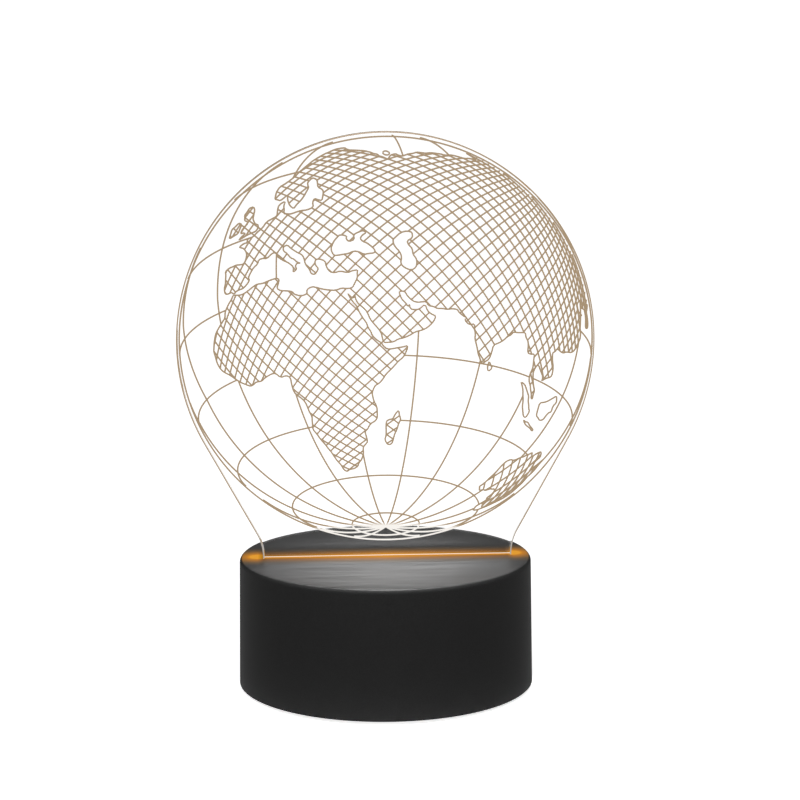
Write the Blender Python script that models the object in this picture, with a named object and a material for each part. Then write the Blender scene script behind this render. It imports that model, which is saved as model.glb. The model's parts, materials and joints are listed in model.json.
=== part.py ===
"""Edge-lit desk lamp: a clear panel cut as a globe stands in the lit slot of a round black base.

The origin is on the surface that the lamp stands on, under the middle of the base. +Z is up, and
-Y is the front. The panel lies in the XZ plane. The inlet and the button are at the back, on +Y.
"""

import math

import bmesh
import bpy
from mathutils import Matrix, Vector

MM = 0.001
GAP = 0.3 * MM  # left between pieces that touch on the real lamp

# Base: one turned shell, open below, closed by a screwed cover.
BASE_RADIUS = 43.5 * MM
BASE_TOP_RADIUS = 42.95 * MM
BASE_BOTTOM = 1.0 * MM
BASE_TOP = 38.5 * MM
EDGE_ROUND = 1.3 * MM
WALL = 2.0 * MM
CEILING = BASE_TOP - WALL
ROUND_SEGMENTS = 96
SMALL_SEGMENTS = 24

# Clear panel: a disc that narrows to a tab, which stands in the slot.
PANEL_RADIUS = 60.8 * MM
PANEL_CENTRE_Z = 102.0 * MM
PANEL_THICKNESS = 4.0 * MM
PANEL_SHIFT_X = 0.6 * MM  # the tab's end play lets the panel stand a little to the right
TAB_HALF_WIDTH = 36.6 * MM
TAB_BOTTOM = 27.5 * MM
NECK_RADIUS = 15.0 * MM
DISC_STEPS = 120
NECK_STEPS = 6

# Slot and the light channel under it.
SLOT_HALF_LENGTH = 37.6 * MM
SLOT_WIDTH = PANEL_THICKNESS + 2 * GAP
RIB = 1.6 * MM
CHANNEL_BOTTOM = 24.0 * MM
LEDGE_TOP = TAB_BOTTOM - GAP
LEDGE_LENGTH = 2.8 * MM

# Boards.
BOARD_THICKNESS = 1.2 * MM
LED_BOARD_SIZE = (74.0 * MM, 16.0 * MM)
LED_BOARD_TOP = CHANNEL_BOTTOM - GAP
LED_BOARD_BOTTOM = LED_BOARD_TOP - BOARD_THICKNESS
LED_COUNT = 8
LED_PITCH = 9.0 * MM
LED_SIZE = (3.5 * MM, 2.8 * MM, 1.9 * MM)
LED_BOSS_PLACES = ((-30.0 * MM, 5.9 * MM), (30.0 * MM, -5.9 * MM))
LED_BOSS_RADIUS = 2.2 * MM
CONTROL_BOARD_X = 34.0 * MM
CONTROL_BOARD_Y = (14.0 * MM, 36.0 * MM)
CONTROL_BOARD_TOP = 10.7 * MM
CONTROL_BOARD_BOTTOM = CONTROL_BOARD_TOP - BOARD_THICKNESS
ON_BOARD = CONTROL_BOARD_TOP + GAP
CONTROL_BOSS_PLACES = ((-13.5 * MM, 18.5 * MM), (13.5 * MM, 18.5 * MM))
CONTROL_BOSS_RADIUS = 2.6 * MM

# Small screws hold the boards, larger ones hold the cover.
BOARD_SCREW_RADIUS = 0.95 * MM
BOARD_SCREW_LENGTH = 6.0 * MM
BOARD_HEAD = (1.9 * MM, 1.2 * MM)
COVER_SCREW_RADIUS = 1.35 * MM
COVER_SCREW_LENGTH = 11.0 * MM
COVER_HEAD = (2.7 * MM, 1.8 * MM)
SCREW_CLEARANCE = 0.35 * MM

# Bottom cover and feet.
COVER_RADIUS = 41.1 * MM
COVER_BOTTOM = 1.6 * MM
COVER_TOP = 3.8 * MM
COVER_BOSS_REACH = 24.0 * MM
COVER_BOSS_RADIUS = 3.2 * MM
CUP_RADIUS = 4.4 * MM
CUP_TOP = 7.0 * MM
CUP_SHOULDER = 5.0 * MM
FOOT_REACH = 33.0 * MM
FOOT_RADIUS = 4.5 * MM
FOOT_POCKET_TOP = 2.4 * MM

# Rear flat, with the inlet and the button.
REAR_FLAT_Y = 41.4 * MM
REAR_PAD_Y = 38.9 * MM
REAR_PAD_HALF_WIDTH = 13.0 * MM
REAR_FLAT_Z = (8.0 * MM, 18.6 * MM)
BUTTON_X = -6.6 * MM
BUTTON_Z = 13.2 * MM
BUTTON_RADIUS = 3.0 * MM
BUTTON_FACE_Y = 42.4 * MM
BUTTON_TRAVEL = 0.5 * MM
FLANGE_RADIUS = 3.9 * MM
FLANGE_THICKNESS = 1.2 * MM
STEM_RADIUS = 1.6 * MM
SWITCH_SIZE = (6.0 * MM, 3.6 * MM, 4.4 * MM)
SWITCH_REAR_Y = 35.0 * MM
PLUNGER_RADIUS = 1.5 * MM
PLUNGER_LENGTH = 2.2 * MM
INLET_X = 6.6 * MM
INLET_WIDTH = 7.6 * MM
INLET_HEIGHT = 2.7 * MM
INLET_Y = (35.2 * MM, 41.0 * MM)
INLET_SHEET = 0.35 * MM
TONGUE_SIZE = (5.2 * MM, 3.8 * MM, 0.7 * MM)

LEAD_RADIUS = 0.5 * MM
LEAD_PITCH = 2.6 * MM


def clear_scene():
    for old in list(bpy.data.objects):
        bpy.data.objects.remove(old, do_unlink=True)


def make_material(name, colour, roughness, metallic=0.0, alpha=1.0, glow=0.0):
    mat = bpy.data.materials.new(name)
    mat.use_nodes = True
    shader = mat.node_tree.nodes["Principled BSDF"]
    shader.inputs["Base Color"].default_value = (*colour, 1.0)
    shader.inputs["Roughness"].default_value = roughness
    shader.inputs["Metallic"].default_value = metallic
    shader.inputs["Alpha"].default_value = alpha
    shader.inputs["Emission Color"].default_value = (*colour, 1.0)
    shader.inputs["Emission Strength"].default_value = glow
    mat.diffuse_color = (*colour, alpha)
    return mat


def make_object(name, mesh, mat=None, parent=None, location=(0, 0, 0)):
    made = bpy.data.objects.new(name, mesh)
    bpy.context.scene.collection.objects.link(made)
    made.location = location
    made.parent = parent
    if mat and not mesh.materials:
        mesh.materials.append(mat)
    return made


def finish_mesh(name, bm, smooth=False):
    """Closes the bmesh into a mesh whose faces point outwards."""
    bmesh.ops.remove_doubles(bm, verts=bm.verts, dist=0.001 * MM)
    bmesh.ops.recalc_face_normals(bm, faces=bm.faces)
    bm.normal_update()
    flat_poles = [vert for vert in bm.verts if len(vert.link_faces) >= SMALL_SEGMENTS
                  and all(abs(face.normal.z) > 0.9999 for face in vert.link_faces)]
    bmesh.ops.dissolve_verts(bm, verts=flat_poles)
    mesh = bpy.data.meshes.new(name)
    bm.to_mesh(mesh)
    bm.free()
    if smooth:
        mesh.shade_smooth()
        mesh.set_sharp_from_angle(angle=math.radians(32))
    return mesh


def turned_mesh(name, profile, segments=SMALL_SEGMENTS):
    """Spins (radius, z) points about Z. The first and last points lie on the axis."""
    bm = bmesh.new()
    points = [bm.verts.new((radius, 0, z)) for radius, z in profile]
    edges = [bm.edges.new(pair) for pair in zip(points, points[1:])]
    bmesh.ops.spin(bm, geom=points + edges, axis=(0, 0, 1), cent=(0, 0, 0),
                   angle=math.tau, steps=segments)
    return finish_mesh(name, bm, smooth=True)


def rod_mesh(name, radius, bottom, top, segments=SMALL_SEGMENTS):
    return turned_mesh(name, [(0, bottom), (radius, bottom), (radius, top), (0, top)], segments)


def block_mesh(name, low, high, round_width=0.0):
    """A box between two corners, with its edges rounded over if a width is given."""
    low = Vector(low)
    high = Vector(high)
    bm = bmesh.new()
    place = Matrix.Translation((low + high) / 2) @ Matrix.Diagonal((*(high - low), 1))
    bmesh.ops.create_cube(bm, size=1, matrix=place)
    if round_width:
        bmesh.ops.bevel(bm, geom=bm.edges[:], offset=round_width, segments=2, profile=0.7,
                        affect="EDGES")
    return finish_mesh(name, bm)


def slab_mesh(name, outline, y_low, y_high):
    """An (x, z) outline made solid between two places along Y."""
    bm = bmesh.new()
    face = bm.faces.new([bm.verts.new((x, y_low, z)) for x, z in outline])
    grown = bmesh.ops.extrude_face_region(bm, geom=[face])["geom"]
    moved = [item for item in grown if isinstance(item, bmesh.types.BMVert)]
    bmesh.ops.translate(bm, verts=moved, vec=(0, y_high - y_low, 0))
    return finish_mesh(name, bm, smooth=True)


def hide_helper(helper):
    helper.hide_render = True
    helper.display_type = "WIRE"
    return helper


def change(target, mesh, operation, location=(0, 0, 0)):
    """Joins a hidden helper solid to the target, or cuts it away."""
    helper = hide_helper(make_object(mesh.name, mesh, location=location))
    step = target.modifiers.new(mesh.name, "BOOLEAN")
    step.operation = operation
    step.solver = "EXACT"
    step.object = helper


def join(target, mesh, location=(0, 0, 0)):
    change(target, mesh, "UNION", location)


def cut(target, mesh, location=(0, 0, 0)):
    change(target, mesh, "DIFFERENCE", location)


def baked_mesh(made):
    """The object's mesh with its modifiers applied, so that copies can share it."""
    graph = bpy.context.evaluated_depsgraph_get()
    mesh = bpy.data.meshes.new_from_object(made.evaluated_get(graph))
    bpy.data.objects.remove(made, do_unlink=True)
    return mesh


def corner_places(reach):
    return [(sx * reach, sy * reach) for sy in (-1, 1) for sx in (-1, 1)]


def axis_places(reach):
    return [(reach, 0), (0, reach), (-reach, 0), (0, -reach)]


def panel_outline():
    """Disc, two straight shoulders that leave it along its tangents, neck arcs and tab."""
    neck_x = TAB_HALF_WIDTH + NECK_RADIUS
    neck_drop = PANEL_CENTRE_Z - BASE_TOP
    reach = math.hypot(neck_x, neck_drop)
    lean = math.atan2(neck_drop, neck_x) - math.acos((PANEL_RADIUS + NECK_RADIUS) / reach)
    right = []
    for step in range(DISC_STEPS // 2 + 1):
        angle = math.pi / 2 - (math.pi / 2 + lean) * step / (DISC_STEPS // 2)
        right.append((PANEL_RADIUS * math.cos(angle),
                      PANEL_CENTRE_Z + PANEL_RADIUS * math.sin(angle)))
    for step in range(NECK_STEPS + 1):
        angle = lean * (1 - step / NECK_STEPS)
        right.append((neck_x - NECK_RADIUS * math.cos(angle),
                      BASE_TOP + NECK_RADIUS * math.sin(angle)))
    right.append((TAB_HALF_WIDTH, TAB_BOTTOM))
    left = [(-x, z) for x, z in reversed(right[1:])]
    return right + left


def make_panel():
    acrylic = make_material("clear_acrylic", (0.93, 0.95, 0.95), 0.05, alpha=0.3)
    lift = bpy.data.objects.new("panel_lift_axis", None)
    bpy.context.scene.collection.objects.link(lift)
    lift.location = (PANEL_SHIFT_X, 0, 0)
    mesh = slab_mesh("acrylic_panel", panel_outline(), -PANEL_THICKNESS / 2, PANEL_THICKNESS / 2)
    make_object("acrylic_panel", mesh, acrylic, parent=lift)


def shell_profile():
    """Outer side from the bottom up, the rounded top edge, then the inner side back down."""
    slope = (BASE_RADIUS - BASE_TOP_RADIUS) / (BASE_TOP - BASE_BOTTOM)
    round_z = BASE_TOP - EDGE_ROUND
    round_r = BASE_TOP_RADIUS - EDGE_ROUND
    profile = [(BASE_RADIUS, BASE_BOTTOM)]
    for step in range(6):
        angle = math.pi / 2 * step / 5
        profile.append((round_r + EDGE_ROUND * math.cos(angle),
                        round_z + EDGE_ROUND * math.sin(angle)))
    profile.append((0, BASE_TOP))
    inside = [(0, CEILING), (BASE_TOP_RADIUS - WALL, CEILING),
              (BASE_RADIUS - WALL + slope * WALL, BASE_BOTTOM)]
    return profile, inside


def shell_mesh():
    """One closed skin: the outer side, the top, the ceiling and the inner side."""
    outside, inside = shell_profile()
    bm = bmesh.new()
    loop = [bm.verts.new((radius, 0, z)) for radius, z in outside + inside]
    skin = [pair for pair in zip(loop, loop[1:] + loop[:1])]
    axis_pair = (loop[len(outside) - 1], loop[len(outside)])
    edges = [bm.edges.new(pair) for pair in skin if pair != axis_pair]
    bmesh.ops.spin(bm, geom=loop + edges, axis=(0, 0, 1), cent=(0, 0, 0),
                   angle=math.tau, steps=ROUND_SEGMENTS)
    return finish_mesh("top_shell", bm, smooth=True)


def make_shell():
    plastic = make_material("black_abs", (0.018, 0.018, 0.019), 0.45)
    shell = make_object("top_shell", shell_mesh(), plastic)
    sunk = CEILING + WALL / 2

    rib_x = SLOT_HALF_LENGTH + RIB
    rib_y = SLOT_WIDTH / 2 + RIB
    join(shell, block_mesh("channel_ribs", (-rib_x, -rib_y, CHANNEL_BOTTOM), (rib_x, rib_y, sunk)))
    for index, (x, y) in enumerate(corner_places(COVER_BOSS_REACH)):
        boss = rod_mesh(f"cover_boss_{index}", COVER_BOSS_RADIUS, CUP_TOP + GAP, sunk)
        join(shell, boss, (x, y, 0))
    for index, (x, y) in enumerate(LED_BOSS_PLACES):
        boss = rod_mesh(f"led_boss_{index}", LED_BOSS_RADIUS, CHANNEL_BOTTOM, sunk)
        join(shell, boss, (x, y, 0))
    pad_margin = 2 * MM
    join(shell, block_mesh(
        "rear_pad",
        (-REAR_PAD_HALF_WIDTH, REAR_PAD_Y, REAR_FLAT_Z[0] - pad_margin),
        (REAR_PAD_HALF_WIDTH, REAR_FLAT_Y, REAR_FLAT_Z[1] + pad_margin)))

    above = BASE_TOP + 1 * MM
    cut(shell, block_mesh(
        "slot_cut",
        (-SLOT_HALF_LENGTH, -SLOT_WIDTH / 2, LEDGE_TOP),
        (SLOT_HALF_LENGTH, SLOT_WIDTH / 2, above)))
    light_x = SLOT_HALF_LENGTH - LEDGE_LENGTH
    cut(shell, block_mesh(
        "light_cut",
        (-light_x, -SLOT_WIDTH / 2, CHANNEL_BOTTOM - 1 * MM),
        (light_x, SLOT_WIDTH / 2, LEDGE_TOP + 1 * MM)))
    hole_radius = COVER_SCREW_RADIUS + SCREW_CLEARANCE
    for index, (x, y) in enumerate(corner_places(COVER_BOSS_REACH)):
        cut(shell, rod_mesh(f"cover_boss_hole_{index}", hole_radius, CUP_TOP - GAP, 18 * MM),
            (x, y, 0))
    hole_radius = BOARD_SCREW_RADIUS + SCREW_CLEARANCE
    for index, (x, y) in enumerate(LED_BOSS_PLACES):
        cut(shell, rod_mesh(f"led_boss_hole_{index}", hole_radius, CHANNEL_BOTTOM - GAP, 31 * MM),
            (x, y, 0))
    cut(shell, block_mesh(
        "rear_flat_cut",
        (-BASE_RADIUS / 2, REAR_FLAT_Y, REAR_FLAT_Z[0]),
        (BASE_RADIUS / 2, BASE_RADIUS + 1 * MM, REAR_FLAT_Z[1])))
    button_hole = rod_mesh("button_hole", BUTTON_RADIUS + GAP, -5 * MM, 5 * MM)
    button_hole.transform(Matrix.Rotation(-math.pi / 2, 4, "X"))
    cut(shell, button_hole, (BUTTON_X, REAR_FLAT_Y, BUTTON_Z))
    cut(shell, slab_mesh("inlet_hole", inlet_outline(GAP), REAR_PAD_Y - 1 * MM,
                         REAR_FLAT_Y + 1 * MM))


def make_cover():
    plastic = make_material("black_abs_cover", (0.02, 0.02, 0.021), 0.55)
    mesh = rod_mesh("bottom_cover", COVER_RADIUS, COVER_BOTTOM, COVER_TOP, ROUND_SEGMENTS)
    cover = make_object("bottom_cover", mesh, plastic)
    sunk = COVER_TOP - 1 * MM
    for index, (x, y) in enumerate(corner_places(COVER_BOSS_REACH)):
        join(cover, rod_mesh(f"cup_{index}", CUP_RADIUS, sunk, CUP_TOP), (x, y, 0))
    for index, (x, y) in enumerate(CONTROL_BOSS_PLACES):
        post = rod_mesh(f"control_boss_{index}", CONTROL_BOSS_RADIUS, sunk,
                        CONTROL_BOARD_BOTTOM - GAP)
        join(cover, post, (x, y, 0))

    below = COVER_BOTTOM - 1 * MM
    head_radius = COVER_HEAD[0] + SCREW_CLEARANCE
    hole_radius = COVER_SCREW_RADIUS + SCREW_CLEARANCE
    for index, (x, y) in enumerate(corner_places(COVER_BOSS_REACH)):
        cut(cover, rod_mesh(f"head_pocket_{index}", head_radius, below, CUP_SHOULDER), (x, y, 0))
        cut(cover, rod_mesh(f"cup_hole_{index}", hole_radius, CUP_SHOULDER - 1 * MM,
                            CUP_TOP + 1 * MM), (x, y, 0))
    hole_radius = BOARD_SCREW_RADIUS + SCREW_CLEARANCE
    for index, (x, y) in enumerate(CONTROL_BOSS_PLACES):
        cut(cover, rod_mesh(f"control_boss_hole_{index}", hole_radius, COVER_TOP + 0.4 * MM,
                            CONTROL_BOARD_BOTTOM), (x, y, 0))
    for index, (x, y) in enumerate(axis_places(FOOT_REACH)):
        cut(cover, rod_mesh(f"foot_pocket_{index}", FOOT_RADIUS + GAP, below, FOOT_POCKET_TOP),
            (x, y, 0))


def make_feet():
    rubber = make_material("grey_rubber", (0.05, 0.05, 0.05), 0.9)
    top = FOOT_POCKET_TOP - GAP
    lip = 0.4 * MM
    mesh = turned_mesh("foot", [(0, 0), (FOOT_RADIUS - lip, 0), (FOOT_RADIUS, lip),
                                (FOOT_RADIUS, top), (0, top)])
    for index, (x, y) in enumerate(axis_places(FOOT_REACH)):
        make_object(f"foot_{index + 1}", mesh, rubber, location=(x, y, 0))


def cross_outline(reach, half_width):
    corner = [(reach, half_width), (half_width, half_width), (half_width, reach)]
    turn = [(x, y) for x, y in corner]
    outline = []
    for _ in range(4):
        outline += turn
        turn = [(-y, x) for x, y in turn]
    return outline


def screw_mesh(name, radius, length, head):
    """Pan head at the origin's lower side, shank up +Z, with a cross recess in the head."""
    head_radius, head_height = head
    tip = radius * 0.8
    mesh = turned_mesh(name, [
        (0, -head_height), (head_radius * 0.55, -head_height), (head_radius * 0.9, -head_height * 0.7),
        (head_radius, -head_height * 0.3), (head_radius, 0), (radius, 0), (radius, length - tip),
        (radius * 0.3, length), (0, length)])
    screw = make_object(name, mesh)
    cross = slab_mesh(name + "_cross", cross_outline(head_radius * 0.55, head_radius * 0.13),
                      -head_height * 0.5, head_height)
    cross.transform(Matrix.Translation((0, 0, -head_height)) @ Matrix.Rotation(math.pi / 2, 4, "X"))
    cut(screw, cross)
    bpy.context.view_layer.update()
    return baked_mesh(screw)


def make_screws():
    zinc = make_material("zinc_plated_steel", (0.55, 0.55, 0.53), 0.35, metallic=1.0)
    large = screw_mesh("cover_screw", COVER_SCREW_RADIUS, COVER_SCREW_LENGTH, COVER_HEAD)
    for index, (x, y) in enumerate(corner_places(COVER_BOSS_REACH)):
        make_object(f"cover_screw_{index + 1}", large, zinc, location=(x, y, CUP_SHOULDER - GAP))
    small = screw_mesh("board_screw", BOARD_SCREW_RADIUS, BOARD_SCREW_LENGTH, BOARD_HEAD)
    for index, (x, y) in enumerate(LED_BOSS_PLACES):
        make_object(f"led_board_screw_{index + 1}", small, zinc,
                    location=(x, y, LED_BOARD_BOTTOM - GAP))
    for index, (x, y) in enumerate(CONTROL_BOSS_PLACES):
        screw = make_object(f"control_board_screw_{index + 1}", small, zinc,
                            location=(x, y, ON_BOARD))
        screw.rotation_euler = (math.pi, 0, 0)


def make_led_board():
    laminate = make_material("white_board", (0.75, 0.75, 0.72), 0.5)
    half_x = LED_BOARD_SIZE[0] / 2
    half_y = LED_BOARD_SIZE[1] / 2
    board = make_object("led_board", block_mesh(
        "led_board", (-half_x, -half_y, LED_BOARD_BOTTOM), (half_x, half_y, LED_BOARD_TOP)), laminate)
    for index, (x, y) in enumerate(LED_BOSS_PLACES):
        cut(board, rod_mesh(f"led_board_hole_{index}", BOARD_SCREW_RADIUS + SCREW_CLEARANCE,
                            LED_BOARD_BOTTOM - 1 * MM, LED_BOARD_TOP + 1 * MM), (x, y, 0))

    glowing = make_material("led_package", (1.0, 0.62, 0.22), 0.4, glow=3.0)
    size_x, size_y, size_z = LED_SIZE
    mesh = block_mesh("led", (-size_x / 2, -size_y / 2, 0), (size_x / 2, size_y / 2, size_z),
                      round_width=0.2 * MM)
    first = -LED_PITCH * (LED_COUNT - 1) / 2
    for index in range(LED_COUNT):
        make_object(f"led_{index + 1}", mesh, glowing,
                    location=(first + LED_PITCH * index, 0, LED_BOARD_TOP + GAP))


def make_control_board():
    laminate = make_material("green_board", (0.03, 0.16, 0.07), 0.45)
    half_x = CONTROL_BOARD_X / 2
    board = make_object("control_board", block_mesh(
        "control_board", (-half_x, CONTROL_BOARD_Y[0], CONTROL_BOARD_BOTTOM),
        (half_x, CONTROL_BOARD_Y[1], CONTROL_BOARD_TOP)), laminate)
    for index, (x, y) in enumerate(CONTROL_BOSS_PLACES):
        cut(board, rod_mesh(f"control_board_hole_{index}", BOARD_SCREW_RADIUS + SCREW_CLEARANCE,
                            CONTROL_BOARD_BOTTOM - 1 * MM, CONTROL_BOARD_TOP + 1 * MM), (x, y, 0))

    moulding = make_material("black_component", (0.02, 0.02, 0.02), 0.5)
    make_object("controller_chip", block_mesh(
        "controller_chip", (-2.5 * MM, -2.0 * MM, 0), (2.5 * MM, 2.0 * MM, 1.5 * MM),
        round_width=0.15 * MM), moulding, location=(0, 24 * MM, ON_BOARD))
    resistor = block_mesh("resistor", (-1.0 * MM, -0.6 * MM, 0), (1.0 * MM, 0.6 * MM, 0.6 * MM))
    for index in range(3):
        make_object(f"resistor_{index + 1}", resistor, moulding,
                    location=(7 * MM, (21.5 + 2.5 * index) * MM, ON_BOARD))
    sleeve = make_material("capacitor_sleeve", (0.03, 0.05, 0.14), 0.35)
    can_radius = 2.5 * MM
    can_height = 6.0 * MM
    groove = 0.3 * MM
    make_object("capacitor", turned_mesh("capacitor", [
        (0, 0), (can_radius, 0), (can_radius, 0.8 * MM), (can_radius - groove, 1.1 * MM),
        (can_radius, 1.4 * MM), (can_radius, can_height - groove),
        (can_radius - groove, can_height), (0, can_height)]),
        sleeve, location=(-8 * MM, 25 * MM, ON_BOARD))


def make_button():
    moulding = make_material("switch_moulding", (0.03, 0.03, 0.03), 0.5)
    size_x, size_y, size_z = SWITCH_SIZE
    switch = make_object("switch_body", block_mesh(
        "switch_body",
        (BUTTON_X - size_x / 2, SWITCH_REAR_Y - size_y, ON_BOARD),
        (BUTTON_X + size_x / 2, SWITCH_REAR_Y, ON_BOARD + size_z)), moulding)
    recess = SWITCH_REAR_Y - 1.6 * MM
    well = rod_mesh("switch_well", PLUNGER_RADIUS + GAP, 0, SWITCH_REAR_Y - recess + 1 * MM)
    well.transform(Matrix.Rotation(-math.pi / 2, 4, "X"))
    cut(switch, well, (BUTTON_X, recess, BUTTON_Z))

    press = bpy.data.objects.new("button_press_axis", None)
    bpy.context.scene.collection.objects.link(press)
    press.location = (BUTTON_X, REAR_FLAT_Y, BUTTON_Z)
    press.rotation_euler = (-math.pi / 2, 0, 0)
    plunger_low = recess + BUTTON_TRAVEL + GAP - REAR_FLAT_Y
    plunger = rod_mesh("switch_plunger", PLUNGER_RADIUS, plunger_low, plunger_low + PLUNGER_LENGTH)
    make_object("switch_plunger", plunger, moulding, parent=press)

    satin = make_material("button_plastic", (0.05, 0.05, 0.05), 0.35)
    face = BUTTON_FACE_Y - REAR_FLAT_Y
    flange_top = REAR_PAD_Y - GAP - REAR_FLAT_Y
    flange_low = flange_top - FLANGE_THICKNESS
    stem_end = plunger_low + PLUNGER_LENGTH + GAP
    edge = 0.4 * MM
    make_object("button_cap", turned_mesh("button_cap", [
        (0, stem_end), (STEM_RADIUS, stem_end), (STEM_RADIUS, flange_low),
        (FLANGE_RADIUS, flange_low), (FLANGE_RADIUS, flange_top), (BUTTON_RADIUS, flange_top),
        (BUTTON_RADIUS, face - edge), (BUTTON_RADIUS - edge, face), (0, face + 0.1 * MM)]),
        satin, parent=press)


def inlet_outline(grow):
    """Socket mouth: flat above, with its two lower corners cut off, grown by a margin."""
    half = INLET_WIDTH / 2 + grow
    low = ON_BOARD - grow
    high = ON_BOARD + INLET_HEIGHT + grow
    slant = 0.9 * MM
    return [(INLET_X + x, z) for x, z in (
        (-half + slant, low), (half - slant, low), (half, low + slant),
        (half, high), (-half, high), (-half, low + slant))]


def make_inlet():
    steel = make_material("tinned_steel", (0.6, 0.6, 0.6), 0.3, metallic=1.0)
    shell = make_object("inlet_shell", slab_mesh("inlet_shell", inlet_outline(0), *INLET_Y), steel)
    cut(shell, slab_mesh("inlet_cavity", inlet_outline(-INLET_SHEET), INLET_Y[0] + INLET_SHEET,
                         INLET_Y[1] + 1 * MM))
    moulding = make_material("inlet_moulding", (0.02, 0.02, 0.02), 0.5)
    size_x, size_y, size_z = TONGUE_SIZE
    root = INLET_Y[0] + INLET_SHEET + GAP
    middle = ON_BOARD + INLET_HEIGHT / 2
    make_object("inlet_tongue", block_mesh(
        "inlet_tongue", (INLET_X - size_x / 2, root, middle),
        (INLET_X + size_x / 2, root + size_y, middle + size_z)), moulding)


def smooth_route(points, steps):
    """Points along a Catmull-Rom curve through the given ones."""
    padded = [points[0]] + points + [points[-1]]
    route = []
    for before, start, end, after in zip(padded, padded[1:], padded[2:], padded[3:]):
        for step in range(steps):
            t = step / steps
            route.append(0.5 * (2 * start + (end - before) * t
                                + (2 * before - 5 * start + 4 * end - after) * t ** 2
                                + (3 * start - before - 3 * end + after) * t ** 3))
    return route + [points[-1]]


def make_leads():
    colours = {"red": (0.6, 0.03, 0.03), "green": (0.03, 0.3, 0.06),
               "blue": (0.03, 0.08, 0.5), "white": (0.8, 0.8, 0.8)}
    for index, (word, colour) in enumerate(colours.items()):
        x = (index - (len(colours) - 1) / 2) * LEAD_PITCH
        corners = [Vector((x, 15.5 * MM, ON_BOARD)), Vector((x, 15.2 * MM, 14 * MM)),
                   Vector((x, 10.5 * MM, 17.5 * MM)), Vector((x, 6.2 * MM, 19.6 * MM)),
                   Vector((x, 5.5 * MM, LED_BOARD_BOTTOM - GAP))]
        curve = bpy.data.curves.new(f"lead_{word}", "CURVE")
        curve.dimensions = "3D"
        curve.bevel_depth = LEAD_RADIUS
        curve.bevel_resolution = 2
        curve.use_fill_caps = True
        route = smooth_route(corners, 5)
        spline = curve.splines.new("POLY")
        spline.points.add(len(route) - 1)
        for point, place in zip(spline.points, route):
            point.co = (*place, 1)
        make_object(f"lead_{word}", curve, make_material(f"lead_{word}", colour, 0.4))


def main():
    clear_scene()
    make_panel()
    make_shell()
    make_cover()
    make_feet()
    make_screws()
    make_led_board()
    make_control_board()
    make_button()
    make_inlet()
    make_leads()


main()
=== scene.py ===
"""Looks of the edge-lit globe lamp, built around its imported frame. The lamp is dressed in the order
in which its parts meet: base, clear panel, engraving, lighting board and its lights, screws,
control board, leads, button, power inlet, bottom cover and feet, and last the room round it.
Lengths are in metres, +Z is up, and -Y is the front.
"""

import json
import math
import random

import bmesh
import bpy
from mathutils import Matrix, Quaternion, Vector

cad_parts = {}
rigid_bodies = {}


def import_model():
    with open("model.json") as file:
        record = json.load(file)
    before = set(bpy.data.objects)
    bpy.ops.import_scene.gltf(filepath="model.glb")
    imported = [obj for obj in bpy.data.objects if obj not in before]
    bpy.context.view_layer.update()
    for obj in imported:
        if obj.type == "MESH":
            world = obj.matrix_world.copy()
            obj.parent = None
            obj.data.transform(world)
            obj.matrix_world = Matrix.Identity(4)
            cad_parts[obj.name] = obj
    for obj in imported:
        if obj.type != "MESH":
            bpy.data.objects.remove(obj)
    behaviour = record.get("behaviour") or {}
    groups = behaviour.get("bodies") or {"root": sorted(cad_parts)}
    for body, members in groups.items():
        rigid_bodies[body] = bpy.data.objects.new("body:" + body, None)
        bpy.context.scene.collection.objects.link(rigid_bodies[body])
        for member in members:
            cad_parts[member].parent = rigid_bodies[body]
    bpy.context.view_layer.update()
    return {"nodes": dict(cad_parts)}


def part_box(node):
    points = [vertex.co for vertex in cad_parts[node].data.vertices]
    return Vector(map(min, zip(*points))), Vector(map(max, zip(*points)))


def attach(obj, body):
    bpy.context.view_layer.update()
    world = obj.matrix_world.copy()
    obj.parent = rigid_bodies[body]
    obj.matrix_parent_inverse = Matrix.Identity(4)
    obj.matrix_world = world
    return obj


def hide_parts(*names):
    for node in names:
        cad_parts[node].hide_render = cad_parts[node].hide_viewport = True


for leftover in list(bpy.data.objects):
    bpy.data.objects.remove(leftover)
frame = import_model()

MM = 0.001

# ---------------------------------------------------------------------------------------------
# Camera: it stands a little to the left of the lamp and above the panel's top, and looks down
# on the base. The lamp has no cord of its own.
# ---------------------------------------------------------------------------------------------

CAMERA_PLACE = Vector((-27.5, -614.2, 182.8)) * MM
CAMERA_TURN = math.radians(2.99)  # towards +X
CAMERA_DIP = math.radians(9.06)
CAMERA_ROLL = math.radians(-0.29)
LENS = 95.9  # millimetres, on a sensor 36 mm wide

looking = Vector((math.sin(CAMERA_TURN) * math.cos(CAMERA_DIP),
                  math.cos(CAMERA_TURN) * math.cos(CAMERA_DIP),
                  -math.sin(CAMERA_DIP)))
camera = bpy.data.objects.new("Camera", bpy.data.cameras.new("Camera"))
camera.data.sensor_width = 36
camera.data.lens = LENS
camera.location = CAMERA_PLACE
camera.rotation_mode = "QUATERNION"
camera.rotation_quaternion = (looking.to_track_quat("-Z", "Y")
                              @ Quaternion((0, 0, 1), CAMERA_ROLL))
bpy.context.scene.collection.objects.link(camera)
bpy.context.scene.camera = camera

# ---------------------------------------------------------------------------------------------
# Base: a round black ABS shell, injection moulded in one piece, open below, with the slot for
# the panel across its top. Its side has a fine matt texture, and its top is satin, with fine
# lines drawn across it. A warm halo of light is painted on the top round the slot, and the
# top is painted darker towards the slot's border.
# ---------------------------------------------------------------------------------------------


def linear(hex_colour):
    """The linear RGBA of an sRGB hex colour."""
    shares = [int(hex_colour[place:place + 2], 16) / 255 for place in (1, 3, 5)]
    return (*[share / 12.92 if share <= 0.04045 else ((share + 0.055) / 1.055) ** 2.4
              for share in shares], 1.0)


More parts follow.
